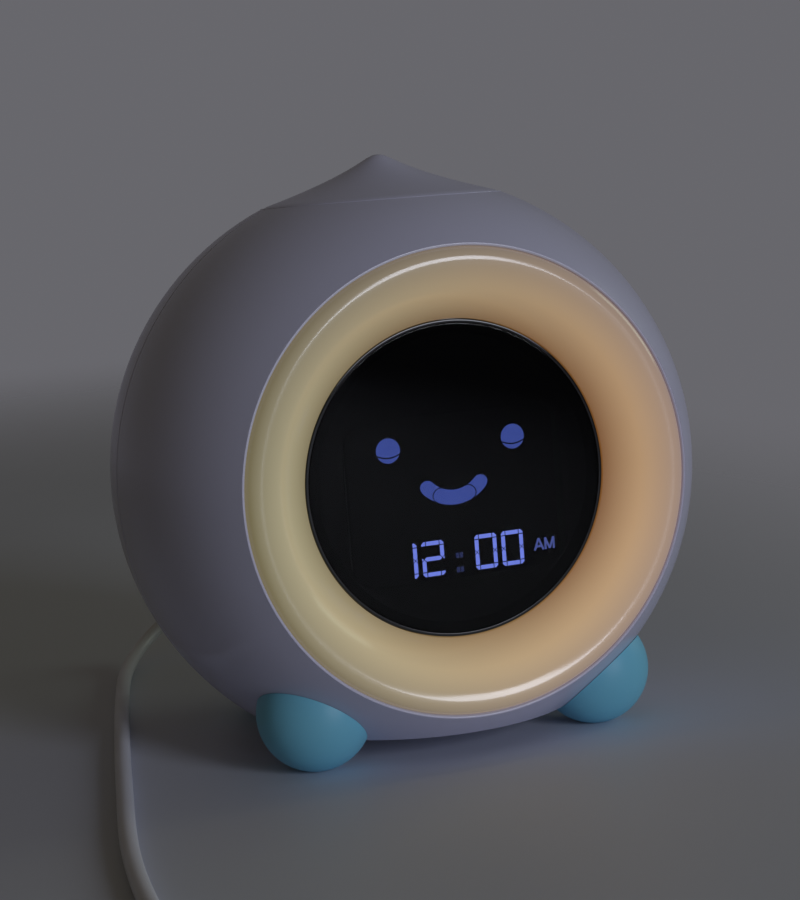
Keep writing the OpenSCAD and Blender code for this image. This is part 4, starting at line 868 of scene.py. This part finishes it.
class ClockControlsFinish(bpy.types.Operator):
    """Finishes the rear panel, its keys and slider, the battery parts and every screw"""
    bl_idname = "clock.controls_finish"
    bl_label = "Finish controls"

    def execute(self, context):
        shell = context.scene.clock_shell
        matt = moulded("matt_panel", shell.panel_colour, 0.5, peel=0.000008, peel_scale=1500.0)
        wear_nodes(matt, "rear_panel", "battery_tray", "battery_door")
        key = moulded("satin_key", (0.62, 0.62, 0.78), 0.38, peel_scale=900.0)
        wear_nodes(key, "minus_button", "plus_button", "set_button", "alarm_button", "light_button")
        wear_nodes(moulded("grey_slider", (0.22, 0.22, 0.26), 0.45, peel_scale=900.0), "lock_slider")
        steel = metal("zinc_steel", (0.62, 0.63, 0.65), 0.32)
        wear_nodes(steel, "case_screws", "cap_washer", "deck_screws", "ring_screws", "display_screws",
                   "panel_screws", "door_screw", "tray_screws", "foot_screws", "cap_spring", "lock_switch",
                   "usb_socket", "cord_connector", "plug_shell")
        ink = moulded("mark_ink", shell.mark_colour, 0.5, peel_scale=1500.0, patch=0.1)
        for name, grids in self.key_marks().items():
            low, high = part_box(f"{name}_button")
            grids = [self.dished(grid, low, high) for grid in grids]
            self.printed(f"{name}_mark", grids, ink, f"{name}_key")
        self.printed("lock_mark", [self.on_panel(grid) for grid in self.padlock()], ink, "case")
        return {"FINISHED"}

    def printed(self, name, grids, ink, body):
        finished(name, grids, ink, body, "component_black", thickness=0.04 * MM, sharp=180)

    def dished(self, grid, low, high):
        """Lays a flat mark on a key's spherical hollow; its across coordinate runs to the viewer's right."""
        hollow, ahead = 6.2 * MM, 5.6 * MM
        across, up = grid[..., 0], grid[..., 1]
        depth, middle = np.sqrt(hollow ** 2 - across ** 2 - up ** 2) - 0.03 * MM, (low + high) / 2
        return joined(middle.x - across, high.y + ahead - depth, middle.z + up)

    def on_panel(self, grid):
        """Lays a flat mark on the rear panel beside the lock slider."""
        return joined(slider_low.x - 5.0 * MM - grid[..., 0], PANEL_FACE + 0.02 * MM,
                      (slider_low.z + slider_high.z) / 2 + grid[..., 1])

    def stroke(self, start, end, wide=0.42 * MM):
        """A straight bar as a grid with twelve steps along it."""
        ends = bar(start, end, wide)
        t = np.linspace(0.0, 1.0, 13)[:, None, None]
        return (1 - t) * ends[0] + t * ends[1]

    def band(self, inner, outer, start=0.0, end=360.0, middle=(0.0, 0.0)):
        """Part of a flat ring between two radii and two angles in degrees."""
        angle, reach = np.radians(np.linspace(start, end, 49))[:, None], np.linspace(inner, outer, 4)
        return joined(middle[0] + reach * np.cos(angle), middle[1] + reach * np.sin(angle))

    def outline(self, rows):
        """A symmetric shape from rows of height and half width."""
        high, half = np.array(rows).T * MM
        return joined(np.linspace(-half, half, 9, axis=-1), high[:, None])

    def key_marks(self):
        thin, angle = 0.26 * MM, round_angles(8)
        rays = [self.stroke(0.98 * MM * ray, 1.5 * MM * ray, thin)
                for ray in joined(np.cos(angle), np.sin(angle))]
        bell = [(1.35, 0.12), (1.2, 0.3), (0.95, 0.55), (0.5, 0.7), (0.0, 0.78), (-0.4, 0.9), (-0.7, 1.25)]
        level = self.stroke((-1.35 * MM, 0.0), (1.35 * MM, 0.0))
        return {
            "minus": [level],
            "plus": [level] + [self.stroke((0.0, s * 0.22 * MM), (0.0, s * 1.35 * MM)) for s in (-1, 1)],
            "set": [self.band(1.15 * MM, 1.48 * MM), self.stroke((0.0, -0.13 * MM), (0.0, 0.85 * MM), thin),
                    self.stroke((0.14 * MM, 0.0), (0.62 * MM, 0.0), thin)],
            "light": [self.band(0.0, 0.66 * MM), *rays],
            "alarm": [self.outline(bell), self.band(0.0, 0.3 * MM, 180, 360, (0.0, -0.88 * MM))],
        }

    def padlock(self):
        return [self.outline([(0.5, 1.35), (0.1, 1.35), (-1.5, 1.35)]),
                self.band(0.62 * MM, 0.98 * MM, 0, 180, (0.0, 1.05 * MM)),
                *(self.stroke((x, 1.05 * MM), (x, 0.5 * MM), 0.36 * MM) for x in (-0.8 * MM, 0.8 * MM))]


class ClockInsideFinish(bpy.types.Operator):
    """Finishes the pieces inside the housing"""
    bl_idname = "clock.inside_finish"
    bl_label = "Finish inside"

    def execute(self, context):
        wear_nodes(moulded("inner_white", (0.78, 0.78, 0.82), 0.5, peel_scale=800.0), "top_deck",
                   "ring_reflector")
        wear_nodes(moulded("milky_guide", (0.85, 0.85, 0.88), 0.35), "lcd_backlight", "leds")
        board = moulded("lacquered_board", (0.02, 0.16, 0.07), 0.3, peel=0.00001, peel_scale=1200.0,
                        patch=0.2)
        wear_nodes(board, "led_board", "main_board", "control_board", "cap_board")
        wear_nodes(moulded("part_black", (0.02, 0.02, 0.022), 0.5, peel_scale=1500.0, patch=0.1),
                   "board_chips", "tact_switches", "cap_switch", "speaker_cone")
        wear_nodes(moulded("speaker_paint", (0.13, 0.13, 0.15), 0.4, peel_scale=900.0), "speaker")
        wear_nodes(metal("contact_brass", (0.75, 0.60, 0.32), 0.3), "battery_contacts")
        wear_nodes(moulded("cell_wrap", (0.05, 0.16, 0.24), 0.25, patch=0.08), "battery_cells")
        return {"FINISHED"}


# ---- Stage ----

class ClockStageAdd(bpy.types.Operator):
    """Sets the pale floor, the tone behind it and the soft lights"""
    bl_idname = "clock.stage_add"
    bl_label = "Add stage"

    def execute(self, context):
        stage = context.scene.clock_stage
        context.scene.view_settings.view_transform = "Standard"
        self.floor(stage)
        self.surround(context, stage)
        self.softbox("key_light", 19.5, 11.0, 1.5, (0.4, 0.62), stage.key_power, (0.843, 0.886, 1.0))
        self.softbox("side_light", 95.0, 20.0, 1.5, (0.7, 0.5), stage.side_power, (0.86, 1.0, 0.82))
        return {"FINISHED"}

    def floor(self, stage):
        """A flat disc on a polar grid, which thins out to the backdrop's tone far from the clock."""
        radius, angle = np.linspace(0.0, 4.0, 24)[:, None], round_angles(96)
        grid = joined(radius * np.cos(angle), radius * np.sin(angle), 0.0)
        floor = mesh_piece("floor", [grid], wrap_columns=True)
        if floor.data.polygons[0].normal.z < 0:
            floor.data.flip_normals()
        made = Finish("pale_floor")
        tone = made.patchy(made.noise(9.0, 4.0), stage.floor_colour, 0.97, 1.03)
        made.put(Base_Color=tone, Roughness=0.5, Specular_IOR_Level=0.25)
        right = made.node("ShaderNodeSeparateXYZ", {0: made.place}).outputs["X"]
        faded = [made.spread(distance, near, far, 0.0, 1.0, smooth=True) for distance, near, far in (
            (made.vector("LENGTH", made.place), 0.45, 1.7), (right, 0.03, 0.42))]
        clear = made.node("ShaderNodeBsdfTransparent").outputs[0]
        blend = made.node("ShaderNodeMixShader",
                          {0: made.math("MAXIMUM", *faded), 1: made.shader.outputs[0], 2: clear})
        made.feed(made.tree.nodes["Material Output"].inputs["Surface"], blend.outputs[0])
        wear(floor, made.material)

    def surround(self, context, stage):
        """The backdrop's tone where it is seen, the gloss tone where it is mirrored, and a dim fill light."""
        context.scene.world = bpy.data.worlds.new("surround")
        made = Nodes(context.scene.world)
        ray = made.node("ShaderNodeLightPath")
        tone = made.mix(ray.outputs["Is Glossy Ray"], stage.wall_colour, stage.gloss_colour)
        tone = made.mix(ray.outputs["Is Diffuse Ray"], tone, stage.fill_colour)
        made.feed(made.tree.nodes["Background"].inputs["Color"], tone)

    def softbox(self, name, azimuth, elevation, distance, size, power, colour):
        """A rectangular light that looks at the clock from an azimuth to the right of its front."""
        back = bearing(azimuth, elevation)
        data = bpy.data.lights.new(name, "AREA")
        data.shape = "RECTANGLE"
        data.size, data.size_y = size
        data.energy = power
        data.color = colour
        lamp = bpy.data.objects.new(name, data)
        lamp.location = CENTRE + back * distance
        lamp.rotation_mode = "QUATERNION"
        lamp.rotation_quaternion = (-back).to_track_quat("-Z", "Y")
        bpy.context.scene.collection.objects.link(lamp)


# ---- Add-on ----

OPERATORS = (ClockCameraAdd, ClockLeadAdd, ClockHousingFinish, ClockRingAdd, ClockDisplayAdd,
             ClockFeetFinish, ClockControlsFinish, ClockInsideFinish, ClockStageAdd)
GROUPS = {"clock_shell": ClockShell, "clock_light": ClockLight, "clock_display": ClockDisplay,
          "clock_lead": ClockLead, "clock_stage": ClockStage}


class ClockPanel(bpy.types.Panel):
    """Lists the clock's making steps and their settings"""
    bl_idname = "VIEW3D_PT_clock"
    bl_label = "Night-light clock"
    bl_space_type = "VIEW_3D"
    bl_region_type = "UI"
    bl_category = "Clock"

    def draw(self, context):
        for operator in OPERATORS:
            self.layout.operator(operator.bl_idname)
        for name, group in GROUPS.items():
            box = self.layout.box()
            settings = getattr(context.scene, name)
            for prop in group.__annotations__:
                box.prop(settings, prop)


def register():
    for cls in (*GROUPS.values(), *OPERATORS, ClockPanel):
        bpy.utils.register_class(cls)
    for name, group in GROUPS.items():
        setattr(bpy.types.Scene, name, PointerProperty(type=group))


def unregister():
    for name in GROUPS:
        delattr(bpy.types.Scene, name)
    for cls in reversed((*GROUPS.values(), *OPERATORS, ClockPanel)):
        bpy.utils.unregister_class(cls)


def main():
    register()
    bpy.ops.clock.camera_add()
    bpy.ops.clock.lead_add()
    bpy.ops.clock.housing_finish()
    bpy.ops.clock.ring_add()
    bpy.ops.clock.display_add()
    bpy.ops.clock.feet_finish()
    bpy.ops.clock.controls_finish()
    bpy.ops.clock.inside_finish()
    bpy.ops.clock.stage_add()


if __name__ == "__main__":
    main()
